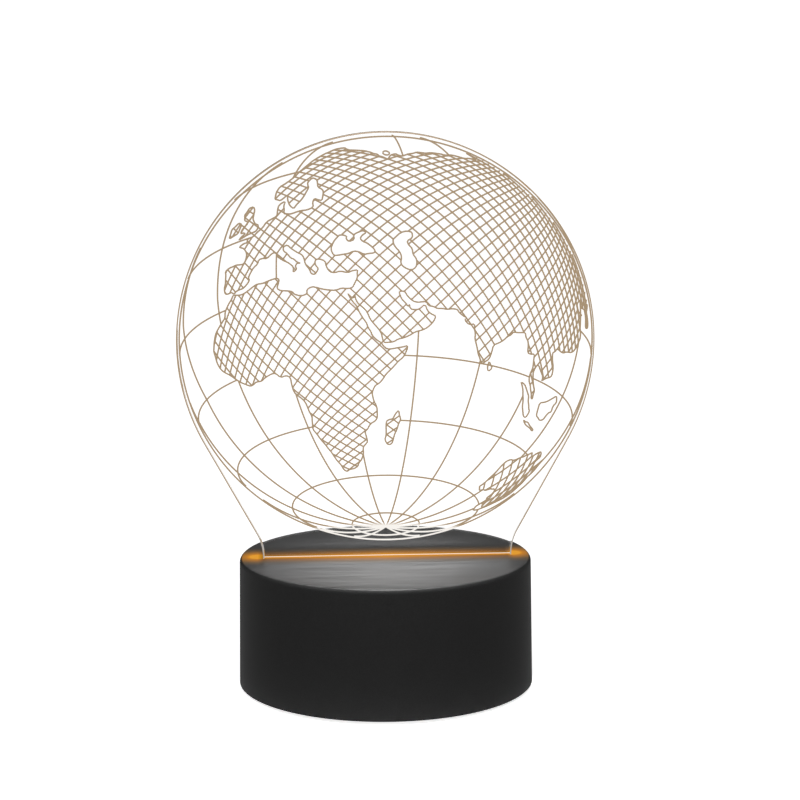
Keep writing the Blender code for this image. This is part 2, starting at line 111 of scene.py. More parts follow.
def add(tree, kind, inputs=None, stops=None, **settings):
    """Adds a node. An input takes a value or another node's output, and a ramp takes its stops."""
    node = tree.nodes.new(kind)
    for name, value in settings.items():
        setattr(node, name, value)
    for name, value in (inputs or {}).items():
        if isinstance(value, bpy.types.NodeSocket):
            tree.links.new(value, node.inputs[name])
        else:
            node.inputs[name].default_value = value
    for index, (place, colour) in enumerate(stops or []):
        elements = node.color_ramp.elements
        element = elements[index] if index < len(elements) else elements.new(place)
        element.position = place
        element.color = linear(colour)
    return node


def start_material(name):
    """A new material, its empty tree, and the object coordinates in it."""
    finish = bpy.data.materials.new(name)
    finish.use_nodes = True
    tree = finish.node_tree
    tree.nodes.clear()
    return finish, tree, add(tree, "ShaderNodeTexCoord").outputs["Object"]


def place_piece(name, mesh, smooth_below=35):
    """A new object of this mesh, smooth where its faces meet below an angle in degrees."""
    mesh.shade_smooth()
    mesh.set_sharp_from_angle(angle=math.radians(smooth_below))
    piece = bpy.data.objects.new(name, mesh)
    bpy.context.scene.collection.objects.link(piece)
    return piece


def as_mesh(name, bm):
    """The bmesh as a new mesh."""
    mesh = bpy.data.meshes.new(name)
    bm.to_mesh(mesh)
    bm.free()
    return mesh


SAME_POINT = 0.002 * MM
SAME_FACE = math.radians(0.5)


def merged_copy(node, name):
    """A copy of a CAD node's mesh, with its loose triangles joined into its real faces."""
    bm = bmesh.new()
    bm.from_mesh(frame["nodes"][node].data)
    bmesh.ops.remove_doubles(bm, verts=bm.verts, dist=SAME_POINT)
    bmesh.ops.dissolve_limit(bm, angle_limit=SAME_FACE, verts=bm.verts, edges=bm.edges)
    return place_piece(name, as_mesh(name, bm))


def fit_piece(piece, body, slot, finish, *nodes):
    """Gives a piece its material and body and hides its CAD nodes; the slot is not used."""
    piece.data.materials.clear()
    piece.data.materials.append(finish)
    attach(piece, body)
    if nodes:
        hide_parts(*nodes)


SLOT_HALF_LENGTH = 37.6 * MM
SLOT_HALF_WIDTH = 2.3 * MM
TOP_FINISH_DEPTH = 0.3 * MM  # the drawn lines end on the top's rounded edge
TEXTURE_GRAIN = 0.4 * MM  # spark-eroded mould texture
DRAWN_LINE_LENGTH = 30 * MM
DRAWN_LINE_WIDTH = 0.8 * MM  # really about 0.1 mm, and drawn coarser so that it shows
HALO_REACH = 11 * MM
END_SHARE = 0.4  # of the halo's strength, at the slot's ends
FAN_START = 3 * MM  # before the slot's end
# painted shade: the share of the top's colour and gloss that is left at the slot's border
PAINTED_BORDER_SHADE = 0.05
TOP_GLOSS = 0.5  # away from the slot
SIDE_GLOSS = 0.12  # the texture's pits trap most of what a smooth face would reflect

base_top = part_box("top_shell")[1].z

# Injection-moulded ABS: near black, and matt where the mould was textured. The fine lines on
# the top make its reflection a satin one that is streaked across the lamp.
moulded_abs, tree, place = start_material("MattAndSatinBlackABS")
apart = add(tree, "ShaderNodeSeparateXYZ", {"Vector": place})
on_top = add(tree, "ShaderNodeMapRange", {
    "Value": apart.outputs["Z"], "From Min": base_top - TOP_FINISH_DEPTH,
    "From Max": base_top - TOP_FINISH_DEPTH / 3}).outputs["Result"]
grain = add(tree, "ShaderNodeTexNoise", {
    "Vector": place, "Scale": 1 / TEXTURE_GRAIN, "Detail": 3.0, "Roughness": 0.6}).outputs["Fac"]
streak_space = add(tree, "ShaderNodeMapping", {
    "Vector": place, "Scale": (1 / DRAWN_LINE_LENGTH, 1 / DRAWN_LINE_WIDTH, 1)})
streaks = add(tree, "ShaderNodeTexNoise", {
    "Vector": streak_space.outputs["Vector"], "Scale": 1.0, "Detail": 4.0,
    "Roughness": 0.65}).outputs["Fac"]
side_shade = add(tree, "ShaderNodeValToRGB", {"Fac": grain},
                 stops=[(0.3, "#151515"), (0.7, "#1c1c1c")])
top_shade = add(tree, "ShaderNodeValToRGB", {"Fac": streaks},
                stops=[(0.35, "#121212"), (0.65, "#383838")])
shade = add(tree, "ShaderNodeMix", {
    0: on_top, 6: side_shade.outputs["Color"], 7: top_shade.outputs["Color"]},
    data_type="RGBA")
side_roughness = add(tree, "ShaderNodeMapRange", {"Value": grain, "To Min": 0.6, "To Max": 0.75})
top_roughness = add(tree, "ShaderNodeMapRange", {"Value": streaks, "To Min": 0.3, "To Max": 0.5})
roughness = add(tree, "ShaderNodeMix", {
    0: on_top, 2: side_roughness.outputs["Result"], 3: top_roughness.outputs["Result"]})
relief = add(tree, "ShaderNodeMix", {0: on_top, 2: grain, 3: streaks})
bump = add(tree, "ShaderNodeBump", {
    "Height": relief.outputs[0], "Strength": 0.25, "Distance": 0.02 * MM})
# The painted halo, a glow painted on the top round the slot: the distance from the slot's
# middle line sets its colour, from gold to nothing.
aside = add(tree, "ShaderNodeMath", {0: apart.outputs["X"]}, operation="ABSOLUTE")
past_end = add(tree, "ShaderNodeMath", {
    0: aside.outputs[0], 1: SLOT_HALF_LENGTH}, operation="SUBTRACT")
past_end = add(tree, "ShaderNodeMath", {0: past_end.outputs[0], 1: 0.0}, operation="MAXIMUM")
from_slot = add(tree, "ShaderNodeVectorMath", {
    0: add(tree, "ShaderNodeCombineXYZ", {
        "X": past_end.outputs[0], "Y": apart.outputs["Y"]}).outputs["Vector"]},
    operation="LENGTH")
halo_place = add(tree, "ShaderNodeMapRange", {
    "Value": from_slot.outputs["Value"], "From Min": SLOT_HALF_WIDTH, "From Max": HALO_REACH})
painted_halo = add(tree, "ShaderNodeValToRGB", {"Fac": halo_place.outputs["Result"]}, stops=[
    (0.0, "#E09A2C"), (0.1, "#C0791C"), (0.3, "#966218"), (0.6, "#543C14"), (1.0, "#000000")])
in_slot = add(tree, "ShaderNodeMath", {
    0: from_slot.outputs["Value"], 1: SLOT_HALF_WIDTH + TOP_FINISH_DEPTH}, operation="LESS_THAN")
lit_here = add(tree, "ShaderNodeMath", {0: on_top, 1: in_slot.outputs[0]}, operation="MAXIMUM")
painted_halo_on_top = add(tree, "ShaderNodeMix", {
    0: lit_here.outputs[0], 6: linear("#000000"), 7: painted_halo.outputs["Color"]}, data_type="RGBA")
# It is strongest in the middle, fades towards the ends, and fans out brightly at them.
along = add(tree, "ShaderNodeMapRange", {
    "Value": aside.outputs[0], "From Max": SLOT_HALF_LENGTH, "To Min": 1.0, "To Max": END_SHARE})
fan = add(tree, "ShaderNodeMapRange", {
    "Value": aside.outputs[0], "From Min": SLOT_HALF_LENGTH - FAN_START,
    "From Max": SLOT_HALF_LENGTH})
painted_halo_strength = add(tree, "ShaderNodeMath", {
    0: along.outputs["Result"], 1: fan.outputs["Result"]}, operation="MAXIMUM")
# Painted shade round the slot: the top's colour and gloss fall towards the slot's border, so
# the drawn lines fade out there.
painted_slot_shade = add(tree, "ShaderNodeMath", {
    0: halo_place.outputs["Result"], 1: PAINTED_BORDER_SHADE}, operation="MAXIMUM")
painted_shade_colour = add(tree, "ShaderNodeMix", {
    0: 1.0, 6: shade.outputs[2], 7: painted_slot_shade.outputs[0]}, data_type="RGBA",
    blend_type="MULTIPLY")
top_gloss = add(tree, "ShaderNodeMath", {
    0: painted_slot_shade.outputs[0], 1: TOP_GLOSS}, operation="MULTIPLY")
gloss = add(tree, "ShaderNodeMix", {0: on_top, 2: SIDE_GLOSS, 3: top_gloss.outputs[0]})
shader = add(tree, "ShaderNodeBsdfPrincipled", {
    "Base Color": painted_shade_colour.outputs[2], "Roughness": roughness.outputs[0], "IOR": 1.35,
    "Specular IOR Level": gloss.outputs[0], "Normal": bump.outputs["Normal"],
    "Emission Color": painted_halo_on_top.outputs[2], "Emission Strength": painted_halo_strength.outputs[0]})
add(tree, "ShaderNodeOutputMaterial", {"Surface": shader.outputs[0]})

shell = merged_copy("top_shell", "BaseShell")
fit_piece(shell, "base", "black_abs", moulded_abs, "top_shell")

# ---------------------------------------------------------------------------------------------
# Clear panel: one sheet of cast acrylic 4 mm thick, laser cut as a disc on a tab, with polished
# faces. The tab stands in the slot over the lights, and its cut edges and the narrow chamfer
# round the disc send the light out.
# ---------------------------------------------------------------------------------------------

TAB_HALF_WIDTH = 36.6 * MM
NECK_RADIUS = 15.0 * MM
CHAMFER = 0.42 * MM
DISC_STEPS = 240
NECK_STEPS = 12
PALE_BELOW = 4 * MM  # over the base
TAN_ABOVE = 10 * MM
LIT_START = 0.1 * MM  # under the base's top
LIT_BAND = 0.75 * MM

panel_low, panel_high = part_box("acrylic_panel")
panel_radius = (panel_high.x - panel_low.x) / 2
panel_centre = Vector(((panel_low.x + panel_high.x) / 2, 0, panel_high.z - panel_radius))
panel_front = panel_low.y


def panel_outline(inset):
    """Disc, two straight shoulders that leave it along its tangents, neck arcs and tab."""
    radius = panel_radius - inset
    neck = NECK_RADIUS + inset
    drop = panel_centre.z - base_top
    neck_x = TAB_HALF_WIDTH + NECK_RADIUS
    lean = math.atan2(drop, neck_x) - math.acos(
        (panel_radius + NECK_RADIUS) / math.hypot(neck_x, drop))
    right = []
    for step in range(DISC_STEPS // 2 + 1):
        angle = math.pi / 2 - (math.pi / 2 + lean) * step / (DISC_STEPS // 2)
        right.append((radius * math.cos(angle), panel_centre.z + radius * math.sin(angle)))
    for step in range(NECK_STEPS + 1):
        angle = lean * (1 - step / NECK_STEPS)
        right.append((neck_x - neck * math.cos(angle), base_top + neck * math.sin(angle)))
    right.append((TAB_HALF_WIDTH - inset, panel_low.z + inset))
    return right + [(-x, z) for x, z in reversed(right[1:])]


# Cast acrylic, polished: clear, hardly any tint, and mirror smooth.
clear_acrylic, tree, _ = start_material("PolishedClearAcrylic")
shader = add(tree, "ShaderNodeBsdfPrincipled", {
    "Base Color": linear("#FFFFFF"), "Roughness": 0.0, "IOR": 1.49, "Transmission Weight": 1.0})
add(tree, "ShaderNodeOutputMaterial", {"Surface": shader.outputs[0]})

# The laser leaves a fine frost on the chamfer, which turns the light inside into a thin tan line.
# It gets paler towards the slot.
LINE_TAN = "#A69074"
LINE_PALE = "#ACA69E"
frosted_edge, tree, place = start_material("FrostedAcrylicEdge")
height = add(tree, "ShaderNodeSeparateXYZ", {"Vector": place}).outputs["Z"]
climb = add(tree, "ShaderNodeMapRange", {
    "Value": height, "From Min": base_top + PALE_BELOW, "From Max": base_top + TAN_ABOVE})
glow = add(tree, "ShaderNodeValToRGB", {"Fac": climb.outputs["Result"]},
           stops=[(0.0, LINE_PALE), (1.0, LINE_TAN)])
shader = add(tree, "ShaderNodeBsdfPrincipled", {
    "Base Color": linear("#201C18"), "Roughness": 0.7, "IOR": 1.2,
    "Emission Color": glow.outputs["Color"], "Emission Strength": 1.0})
add(tree, "ShaderNodeOutputMaterial", {"Surface": shader.outputs[0]})

# Painted glow: a narrow band round the tab, just under the base's top, glows as the light in
# the slot. Seen through the clear sheet it is a bright line, white in its middle and orange
# where the light fades.
lit_tab, tree, place = start_material("LitAcrylicTab")
height = add(tree, "ShaderNodeSeparateXYZ", {"Vector": place}).outputs["Z"]
sunk = add(tree, "ShaderNodeMapRange", {
    "Value": height, "From Min": base_top, "From Max": base_top - LIT_BAND})
glow = add(tree, "ShaderNodeValToRGB", {"Fac": sunk.outputs["Result"]}, stops=[
    (0.13, "#FFDCA8"), (0.2, "#FFFFFF"), (0.34, "#FFF4E0"), (0.44, "#D8901C"), (1.0, "#B87210")])
shader = add(tree, "ShaderNodeBsdfPrincipled", {
    "Base Color": linear("#3A2C1C"), "Roughness": 0.6,
    "Emission Color": glow.outputs["Color"], "Emission Strength": 1.0})
add(tree, "ShaderNodeOutputMaterial", {"Surface": shader.outputs[0]})

bm = bmesh.new()
rings = []
for y, inset in ((panel_low.y, CHAMFER), (panel_low.y + CHAMFER, 0),
                 (panel_high.y - CHAMFER, 0), (panel_high.y, CHAMFER)):
    rings.append([bm.verts.new((panel_centre.x + x, y, z)) for x, z in panel_outline(inset)])
bm.faces.new(rings[0])
bm.faces.new(rings[-1])
for ring, after in zip(rings, rings[1:]):
    for index in range(len(ring)):
        following = (index + 1) % len(ring)
        bm.faces.new((ring[index], ring[following], after[following], after[index]))
for height in (base_top - LIT_START, base_top - LIT_BAND):
    bmesh.ops.bisect_plane(bm, geom=bm.verts[:] + bm.edges[:] + bm.faces[:],
                           plane_co=(0, 0, height), plane_no=(0, 0, 1))
bmesh.ops.recalc_face_normals(bm, faces=bm.faces)
for face in bm.faces:
    slanted = 0.1 < abs(face.normal.y) < 0.9
    middle = face.calc_center_median()
    if base_top - LIT_BAND < middle.z < base_top - LIT_START:
        face.material_index = 2
    elif (slanted and middle.y < 0) or face.normal.z < -0.5:
        face.material_index = 1
mesh = as_mesh("ClearPanel", bm)
panel = place_piece("ClearPanel", mesh, 20)
for finish in (clear_acrylic, frosted_edge, lit_tab):
    mesh.materials.append(finish)
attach(panel, "panel")
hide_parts("acrylic_panel")

# ---------------------------------------------------------------------------------------------
# Engraving: the globe is drawn on the panel's front face with a laser, as grooves half a
# millimetre wide. The seas carry the meridians and parallels, the land a lattice of slanting
# lines, and every coast its outline. Each groove is a strip of trapezoid section in the face.
# ---------------------------------------------------------------------------------------------

GLOBE_HALF_SIZE = (59.9 * MM, 58.9 * MM)  # the outline is drawn a little wider than high
OUTLINE_MIDDLE = (0.1 * MM, 0.43 * MM)
GLOBE_MIDDLE = (0.06 * MM, 0.80 * MM)  # the lines inside sit a little higher than the outline
GLOBE_TILT = math.radians(-20.0)  # the south pole leans towards the front
GLOBE_ROLL = math.radians(-0.57)
MERIDIAN_STEP = math.radians(20.5)
FIRST_MERIDIAN = math.radians(9.4)
PARALLELS_FROM_POLE = (9.5, 27.2, 46.3, 65.6, 85.8, 106.1, 129.7)  # degrees
MERIDIANS = range(-8, 9)
SHORTEST_GRID_LINE = 6.0 * MM  # shorter bits between two coasts are left out
GRID_RIM = 0.012  # how far in front of the globe's rim the grid's lines end, as a share
LAND_RIM = 0.15  # the same for the land's lines
# The flat world map is scaled, turned and raised on the globe, and stretched in the north.
MAP_WIDTH = 0.923
MAP_TURN = -40.86  # degrees
MAP_HEIGHT = 0.79
MAP_RISE = math.radians(-30.95)
NORTH_STRETCH = 0.1
NORTH_START = 0.72
NORTH_REACH = 0.3
# The lean starts this far south of the equator. The left rim's own lean is whole at the equator.
LEAN_START = math.radians(25)
NORTH_LEAN = 0.04
RIM_LEAN = 0.157
RIM_START = math.radians(40)
BAY = math.radians(1.6)  # a coast bends once in this length
BAY_SWAY = math.radians(0.35)
# The lattice: lines in a radian, how they crowd outwards, and how they lean and taper.
LATTICE_ACROSS = 12.97
LATTICE_UP = 12.88
LATTICE_START = (-0.426, 0.496)
CROWDING_ACROSS = 0.146
CROWDING_UP = 0.208
LATTICE_LEAN = 0.184
LEAN_GROWTH = 0.323
LATTICE_TAPER = 1.449
LATTICE_SOUTH = math.radians(-62)
LATTICE_NORTH = math.radians(75)
LATTICE_NUMBERS = range(-34, 35)
WIDEST = 1.9  # the longitude in radians that a line is held within
WIDEST_KEPT = 1.85
STEP = math.radians(1.0)
GROOVE_WIDTH = 0.48 * MM
GROOVE_FLOOR = 0.15 * MM
GROOVE_DEPTH = 0.25 * MM
PROUD = 0.02 * MM  # in front of the face, so that the two don't share a plane
WHITE_RISE = 0.226  # how high the white reaches over the base, by the depth of base behind it
WHITE_FADE = 0.5 * MM


def bent(longitude, latitude):
    """The drawing leans its northern places to the left, and the left rim's places still more."""
    rise = max(0.0, latitude + LEAN_START)
    past_rim = max(0.0, -longitude - RIM_START)
    share = min(1.0, rise / LEAN_START)
    return longitude - NORTH_LEAN * rise ** 2 - RIM_LEAN * past_rim * share, latitude


def on_globe(longitude, latitude):
    """Where a place of the flat world map, in degrees, falls on the globe, in radians."""
    stretched = math.log(math.tan(math.pi / 4 + math.radians(latitude) / 2))
    return bent(math.radians(MAP_WIDTH * longitude + MAP_TURN),
                MAP_RISE + MAP_HEIGHT * stretched
                + NORTH_STRETCH * min(NORTH_REACH, max(0.0, stretched - NORTH_START)))


def seen(spot):
    """The globe's spot as (right, up, towards the front) on a ball of radius 1."""
    longitude, latitude = spot
    out = math.cos(latitude) * math.cos(longitude)
    up = math.sin(latitude)
    return (math.cos(latitude) * math.sin(longitude),
            up * math.cos(GLOBE_TILT) - out * math.sin(GLOBE_TILT),
            out * math.cos(GLOBE_TILT) + up * math.sin(GLOBE_TILT))


def drawn(spot):
    """The globe's spot in the panel's plane, from its centre."""
    right, up, _ = seen(spot)
    return ((right * math.cos(GLOBE_ROLL) - up * math.sin(GLOBE_ROLL)) * GLOBE_HALF_SIZE[0]
            + GLOBE_MIDDLE[0],
            (right * math.sin(GLOBE_ROLL) + up * math.cos(GLOBE_ROLL)) * GLOBE_HALF_SIZE[1]
            + GLOBE_MIDDLE[1])


# Coasts as (longitude, latitude) in degrees, each one a closed line.
MAINLAND = [
    # North Africa and the Levant
    (-5.9, 35.8), (-2, 35.1), (0, 35.8), (3, 36.9), (7, 37), (10, 37.3), (11, 36.8), (10.6, 35.5),
    (10, 34.2), (11.2, 33.2), (13, 32.9), (15.2, 32.3), (15.8, 31.3), (18, 30.4), (20, 30.8),
    (20, 32.2), (21.7, 32.9), (23.2, 32.4), (25, 31.7), (29, 30.9), (31, 31.5), (32.3, 31.2),
    (34.2, 31.3), (35, 32.8), (35.9, 34.5), (35.8, 36), (36.1, 36.8),
    # Anatolia and Greece
    (34.5, 36.7), (33, 36.1), (30.7, 36.8), (29, 36.4), (27.5, 36.8), (26.4, 38.5), (26.2, 40),
    (24, 40.8), (22.9, 40.4), (23, 39.2), (24, 38.2), (23.5, 37.4), (22.8, 36.5), (21.6, 36.9),
    (21.2, 38.2), (19.8, 39.8), (19.4, 41.5),
    # Adriatic and Italy
    (17.5, 43), (15, 44.5), (13.7, 45.6), (12.3, 45.3), (12.4, 44.2), (13.7, 43.4), (15, 42),
    (16.1, 41.6), (18.4, 40.2), (17, 40.4), (16.5, 39.5), (17.1, 38.9), (15.7, 38), (16, 39.5),
    (14.5, 40.7), (12.3, 41.8), (10.4, 43), (9.8, 44.1), (8.6, 44.3), (6.5, 43.1), (3.5, 43.4),
    # Iberia and France
    (3.1, 42.3), (0.7, 40.8), (-0.3, 39.4), (0.2, 38.7), (-0.8, 37.6), (-2.2, 36.8), (-4.5, 36.7),
    (-5.6, 36), (-6.4, 36.9), (-8.9, 37), (-9.3, 38.7), (-8.8, 41), (-9.1, 43.2), (-7.5, 43.7),
    (-2, 43.4), (-1.3, 44.5), (-1.2, 46), (-2.5, 47.4), (-4.6, 48.2), (-3, 48.8), (-1.6, 48.7),
    (-1.8, 49.7), (0.2, 49.7), (1.6, 50.7),
    # Denmark and the Baltic
    (3.5, 51.5), (4.7, 53), (7, 53.5), (8.6, 53.9), (8.2, 55.5), (8.2, 57), (10.6, 57.7),
    (10.3, 56.3), (10.9, 54.2), (12.4, 53.9), (15.3, 53.9), (19.5, 54), (21.7, 54.6),
    (21.1, 55.9), (21.6, 57), (24.4, 56.1), (24.5, 57.5), (24, 59.2), (22.1, 60), (21.6, 61.2),
    (20.3, 62.5), (18.8, 62.9), (17.5, 61.8), (18.6, 60.3), (18, 59.1), (16.4, 56.8),
    (14.5, 55), (12.8, 56.1), (11.3, 57.9), (10.6, 59.3),
    # Norway and the Arctic coast
    (8.2, 58.1), (5.6, 58.9), (5, 61), (5.5, 62.2), (10, 63.9), (12.5, 66), (15, 68), (19, 69.8),
    (24, 71), (28, 71), (31, 70), (36, 69.6), (41, 68.8), (46, 67.3), (48, 66.6), (49, 67.7),
    (51.5, 68.3), (54, 67.6), (57, 68.4), (61, 69.1), (65, 69), (69, 69.4), (74, 69.2),
    (79, 69.6), (84, 69.3), (89, 69.8), (93, 70), (92, 72), (93, 74.5), (100, 76.5), (104, 77.7),
    (112, 76), (120, 75), (140, 74), (160, 72), (180, 70),
    # The Pacific side
    (180, 62.5), (163, 60), (162, 55), (157, 51.5), (156, 57), (155, 59.5), (143, 59.3),
    (135, 54.7), (141, 53), (140, 48), (135, 43.5), (130, 42.5), (127.5, 39.5), (129.4, 37),
    (129, 35.2), (126.5, 34.5), (126.5, 37.5), (125, 39.5), (121.5, 39), (121, 40.8), (118, 39),
    (119, 37.3), (122.5, 37.2), (119.3, 35), (121.8, 31.8), (122, 29.5), (119.5, 25.5),
    (116.5, 23), (113.5, 22.2), (110.5, 21.2), (108, 21.6), (106, 19.5), (107, 17), (109.2, 13),
    (109, 11.5), (106.8, 10.4), (104.8, 8.6), (105, 10), (102.5, 12), (100.9, 13.4), (100, 13),
    (99.3, 10.5), (100.3, 8.3), (103.4, 4.5), (104.2, 1.4), (103.4, 1.4), (100.4, 5.5),
    (98.4, 8), (98.6, 11.5), (97.6, 16.5), (94.4, 16), (94, 18.8), (92.3, 21), (91.8, 22.5),
    # India, Persia and Arabia
    (90, 22), (87, 21.5), (85, 19.5), (82.3, 16.7), (80.3, 15.5), (80.2, 13), (79.8, 10.3),
    (78.2, 8.9), (77.5, 8.1), (76.3, 10), (74.8, 13), (73.3, 16.5), (72.8, 19.5), (72.6, 21.5),
    (70.8, 20.8), (69, 22.3), (70, 23), (67, 24.6), (66.5, 25.4), (61.6, 25.2), (57.3, 25.7),
    (56.6, 27), (54, 26.6), (51.5, 27.8), (50, 30), (48.2, 30), (48.6, 28.5), (50.2, 26.3),
    (51, 25), (51.4, 26), (51.6, 24.4), (54.5, 24.4), (56.2, 26.2), (57, 24), (59.8, 22.5),
    (57.8, 19), (55, 17.2), (52, 15.6), (48, 14), (45, 12.8), (43.4, 12.7), (42.7, 16),
    (39.2, 21), (37, 25), (34.9, 28), (35, 29.5), (34.3, 27.8), (32.6, 29.9),
    # East and southern Africa
    (33.5, 28), (35.7, 24), (37.2, 21), (38.5, 18), (39.7, 15.3), (42.7, 12.6), (43.2, 11.6),
    (44.5, 10.4), (51.2, 11.8), (51, 10.4), (49.8, 7.5), (47, 4.5), (43, -0.5), (40.3, -2.7),
    (39, -5.5), (39.5, -8.5), (40.6, -10.8), (40.6, -15), (37, -17.8), (34.8, -20),
    (35.5, -24), (32.8, -26), (32.5, -28.5), (30.5, -31), (27.5, -33.3), (25, -34),
    (20, -34.8), (18.4, -34), (18.2, -32), (16.5, -28.6), (14.5, -23), (11.8, -17),
    # West Africa
    (13.6, -12), (13, -8), (12, -5), (9.5, -2), (9.5, 1), (9.8, 3.5), (8.5, 4.6), (6, 4.3),
    (4.5, 6.3), (1.2, 6), (-2, 4.8), (-4.5, 5.2), (-7.6, 4.4), (-11, 6.7), (-13.3, 9),
    (-15, 11), (-16.8, 12.5), (-18.4, 15), (-18.5, 19), (-18.5, 21), (-17, 23.8),
    (-15.5, 26), (-13, 27.8), (-10, 29.8), (-9.7, 31.5), (-8, 33.5), (-6.5, 34.8),
]
BRITAIN = [
    (-5.5, 50.1), (-3.5, 50.5), (1.3, 51.2), (1.6, 52.7), (0, 53.3), (-1.5, 55), (-2, 57.5),
    (-3.2, 58.6), (-5, 58.6), (-6, 57), (-5, 55.3), (-3, 54.2), (-4.7, 53.2), (-5.2, 51.8),
    (-3, 51.4),
]
IRELAND = [(-10, 51.6), (-6.3, 52.2), (-6, 53.5), (-5.8, 54.6), (-7.5, 55.3), (-10, 54.2)]
MADAGASCAR = [
    (49.3, -12), (50.4, -15.5), (47.2, -24.9), (45.2, -25.5), (43.6, -23.5), (44.3, -20),
    (44.4, -16.2), (47, -15.5),
]
AUSTRALIA = [
    (114, -22), (113.6, -25), (115.2, -31.5), (115, -34.3), (118, -35), (123.5, -34),
    (126, -32.3), (131, -31.5), (134.2, -32.8), (135.5, -34.8), (138, -34), (140, -38),
    (143.5, -38.8), (146.5, -39), (150, -37.4), (151.5, -33), (153.5, -28.5), (153, -25),
    (149, -20.5), (146, -18.8), (145.3, -15), (142.5, -10.8), (141.6, -14), (140.8, -17.5),
    (136, -15.5), (136.8, -12.2), (132.5, -11.3), (130, -13.5), (129, -15), (126, -14),
    (122.5, -17.5), (119, -20), (116, -20.8),
]
BLACK_SEA = [
    (28.8, 41.2), (27.9, 43), (28.8, 44.8), (30.8, 46.5), (33, 46), (32.7, 45.3), (33.6, 44.5),
    (35.3, 45), (35, 46.2), (38, 47.2), (39, 46.6), (37, 45.2), (39, 44), (41.5, 42),
    (41.2, 41.3), (38, 41), (35, 42), (31.5, 41.3),
]
CASPIAN = [
    (49, 46.3), (51.5, 47), (53, 46.8), (53, 45.3), (51.2, 44.5), (52.7, 42.6), (52.8, 41),
    (53.8, 40), (53.5, 37.5), (52, 36.6), (50, 37.4), (48.9, 38.5), (49.4, 40.3), (47.6, 42.8),
    (47, 44.8),
]
CEYLON = [(80, 9.7), (81.8, 7.5), (80.6, 5.9), (79.8, 7.5)]
SUMATRA = [
    (95.3, 5.6), (97.5, 5.2), (100.4, 2.8), (103.8, -1), (106, -3), (105.8, -5.8), (104, -5.5),
    (101, -2.5), (98.6, 1.5),
]
JAVA = [(105.3, -6.6), (108.5, -6.7), (114.4, -8), (114.2, -8.7), (110, -8.1), (106.5, -7.4)]
BORNEO = [
    (109, 1.5), (111.4, 2.4), (115, 5.2), (117, 7), (119, 5), (117.8, 3.2), (118.8, 1),
    (117.5, 0.5), (116.5, -3), (114.5, -4), (111, -3.2), (110, -1.3),
]
NOVAYA_ZEMLYA = [(46, 68.5), (46.6, 69.1), (47.8, 69.2), (49.2, 68.6), (48.4, 67.9), (47, 67.9)]
INNER_SEA = [(-5, 33), (36, 30), (37, 38), (20, 45), (-5, 40)]  # no parallel crosses it

LANDS = [MAINLAND, BRITAIN, IRELAND, MADAGASCAR, AUSTRALIA]
LAKES = [BLACK_SEA, CASPIAN]
BARE_ISLANDS = [CEYLON, SUMATRA, JAVA, BORNEO, NOVAYA_ZEMLYA]


def wandering(coast, chance):
    """The coast on the globe, with a small bend in each stretch longer than a bay."""
    spots = []
    for start, end in zip(coast, coast[1:] + coast[:1]):
        x, y = on_globe(*start)
        x_end, y_end = on_globe(*end)
        length = math.hypot(x_end - x, y_end - y)
        pieces = max(1, round(length / BAY))
        for index in range(pieces):
            share = index / pieces
            sway = chance.uniform(-1, 1) * BAY_SWAY if index else 0
            spots.append((x + (x_end - x) * share - (y_end - y) / length * sway,
                          y + (y_end - y) * share + (x_end - x) / length * sway))
    rounded = []
    for (x, y), (x_end, y_end) in zip(spots, spots[1:] + spots[:1]):
        rounded.append((x * 0.75 + x_end * 0.25, y * 0.75 + y_end * 0.25))
        rounded.append((x * 0.25 + x_end * 0.75, y * 0.25 + y_end * 0.75))
    return rounded


def inside(spot, outline):
    """Whether a globe spot lies within a closed outline."""
    x, y = spot
    crossings = 0
    for (x_a, y_a), (x_b, y_b) in zip(outline, outline[1:] + outline[:1]):
        if (y_a > y) != (y_b > y) and x < x_a + (y - y_a) / (y_b - y_a) * (x_b - x_a):
            crossings += 1
    return crossings % 2 == 1


chance = random.Random(7)
land_outlines = [wandering(coast, chance) for coast in LANDS]
lake_outlines = [wandering(coast, chance) for coast in LAKES]
island_outlines = [wandering(coast, chance) for coast in BARE_ISLANDS]


def on_land(spot):
    return (any(inside(spot, outline) for outline in land_outlines)
            and not any(inside(spot, outline) for outline in lake_outlines))


def at_sea(spot):
    return not (on_land(spot) or any(inside(spot, outline) for outline in island_outlines))


def in_front(spot):
    return seen(spot)[2] > GRID_RIM


def kept_runs(line, wanted):
    """The stretches of a line of spots where every spot is wanted, cut close to where it ends."""
    runs = []
    run = []
    last = None
    for spot in line:
        keep = wanted(spot)
        if last is not None and keep != last[1]:
            good, bad = (spot, last[0]) if keep else (last[0], spot)
            for _ in range(6):
                middle = ((good[0] + bad[0]) / 2, (good[1] + bad[1]) / 2)
                if wanted(middle):
                    good = middle
                else:
                    bad = middle
            run.append(good)
            if not keep:
                runs.append(run)
                run = []
        if keep:
            run.append(spot)
        last = (spot, keep)
    return [run for run in runs + [run] if len(run) > 1]


def run_length(run):
    places = [Vector(drawn(spot)) for spot in run]
    return sum((a - b).length for a, b in zip(places, places[1:]))


def steps(low, high, step):
    count = max(1, round((high - low) / step))
    return [low + (high - low) * index / count for index in range(count + 1)]


def lattice_line(family, number):
    """One line of the land's lattice. A family slants one way, and its lines are numbered."""
    spots = []
    level = number + LATTICE_START[family]
    for latitude in steps(LATTICE_SOUTH, LATTICE_NORTH, STEP * 1.5):
        longitude = 0.0
        for _ in range(8):
            up = (LATTICE_UP * latitude * (1 + CROWDING_UP * latitude ** 2)
                  - (LEAN_GROWTH * latitude + LATTICE_LEAN) * longitude)
            width = (LATTICE_ACROSS * math.cos(latitude) * (1 + CROWDING_ACROSS * longitude ** 2)
                     - LATTICE_TAPER * latitude)
            longitude = (level - up if family == 0 else level + up) / width
            longitude = max(-WIDEST, min(WIDEST, longitude))
        spots.append((longitude, latitude))
    return [spot for spot in spots if abs(spot[0]) < WIDEST_KEPT]


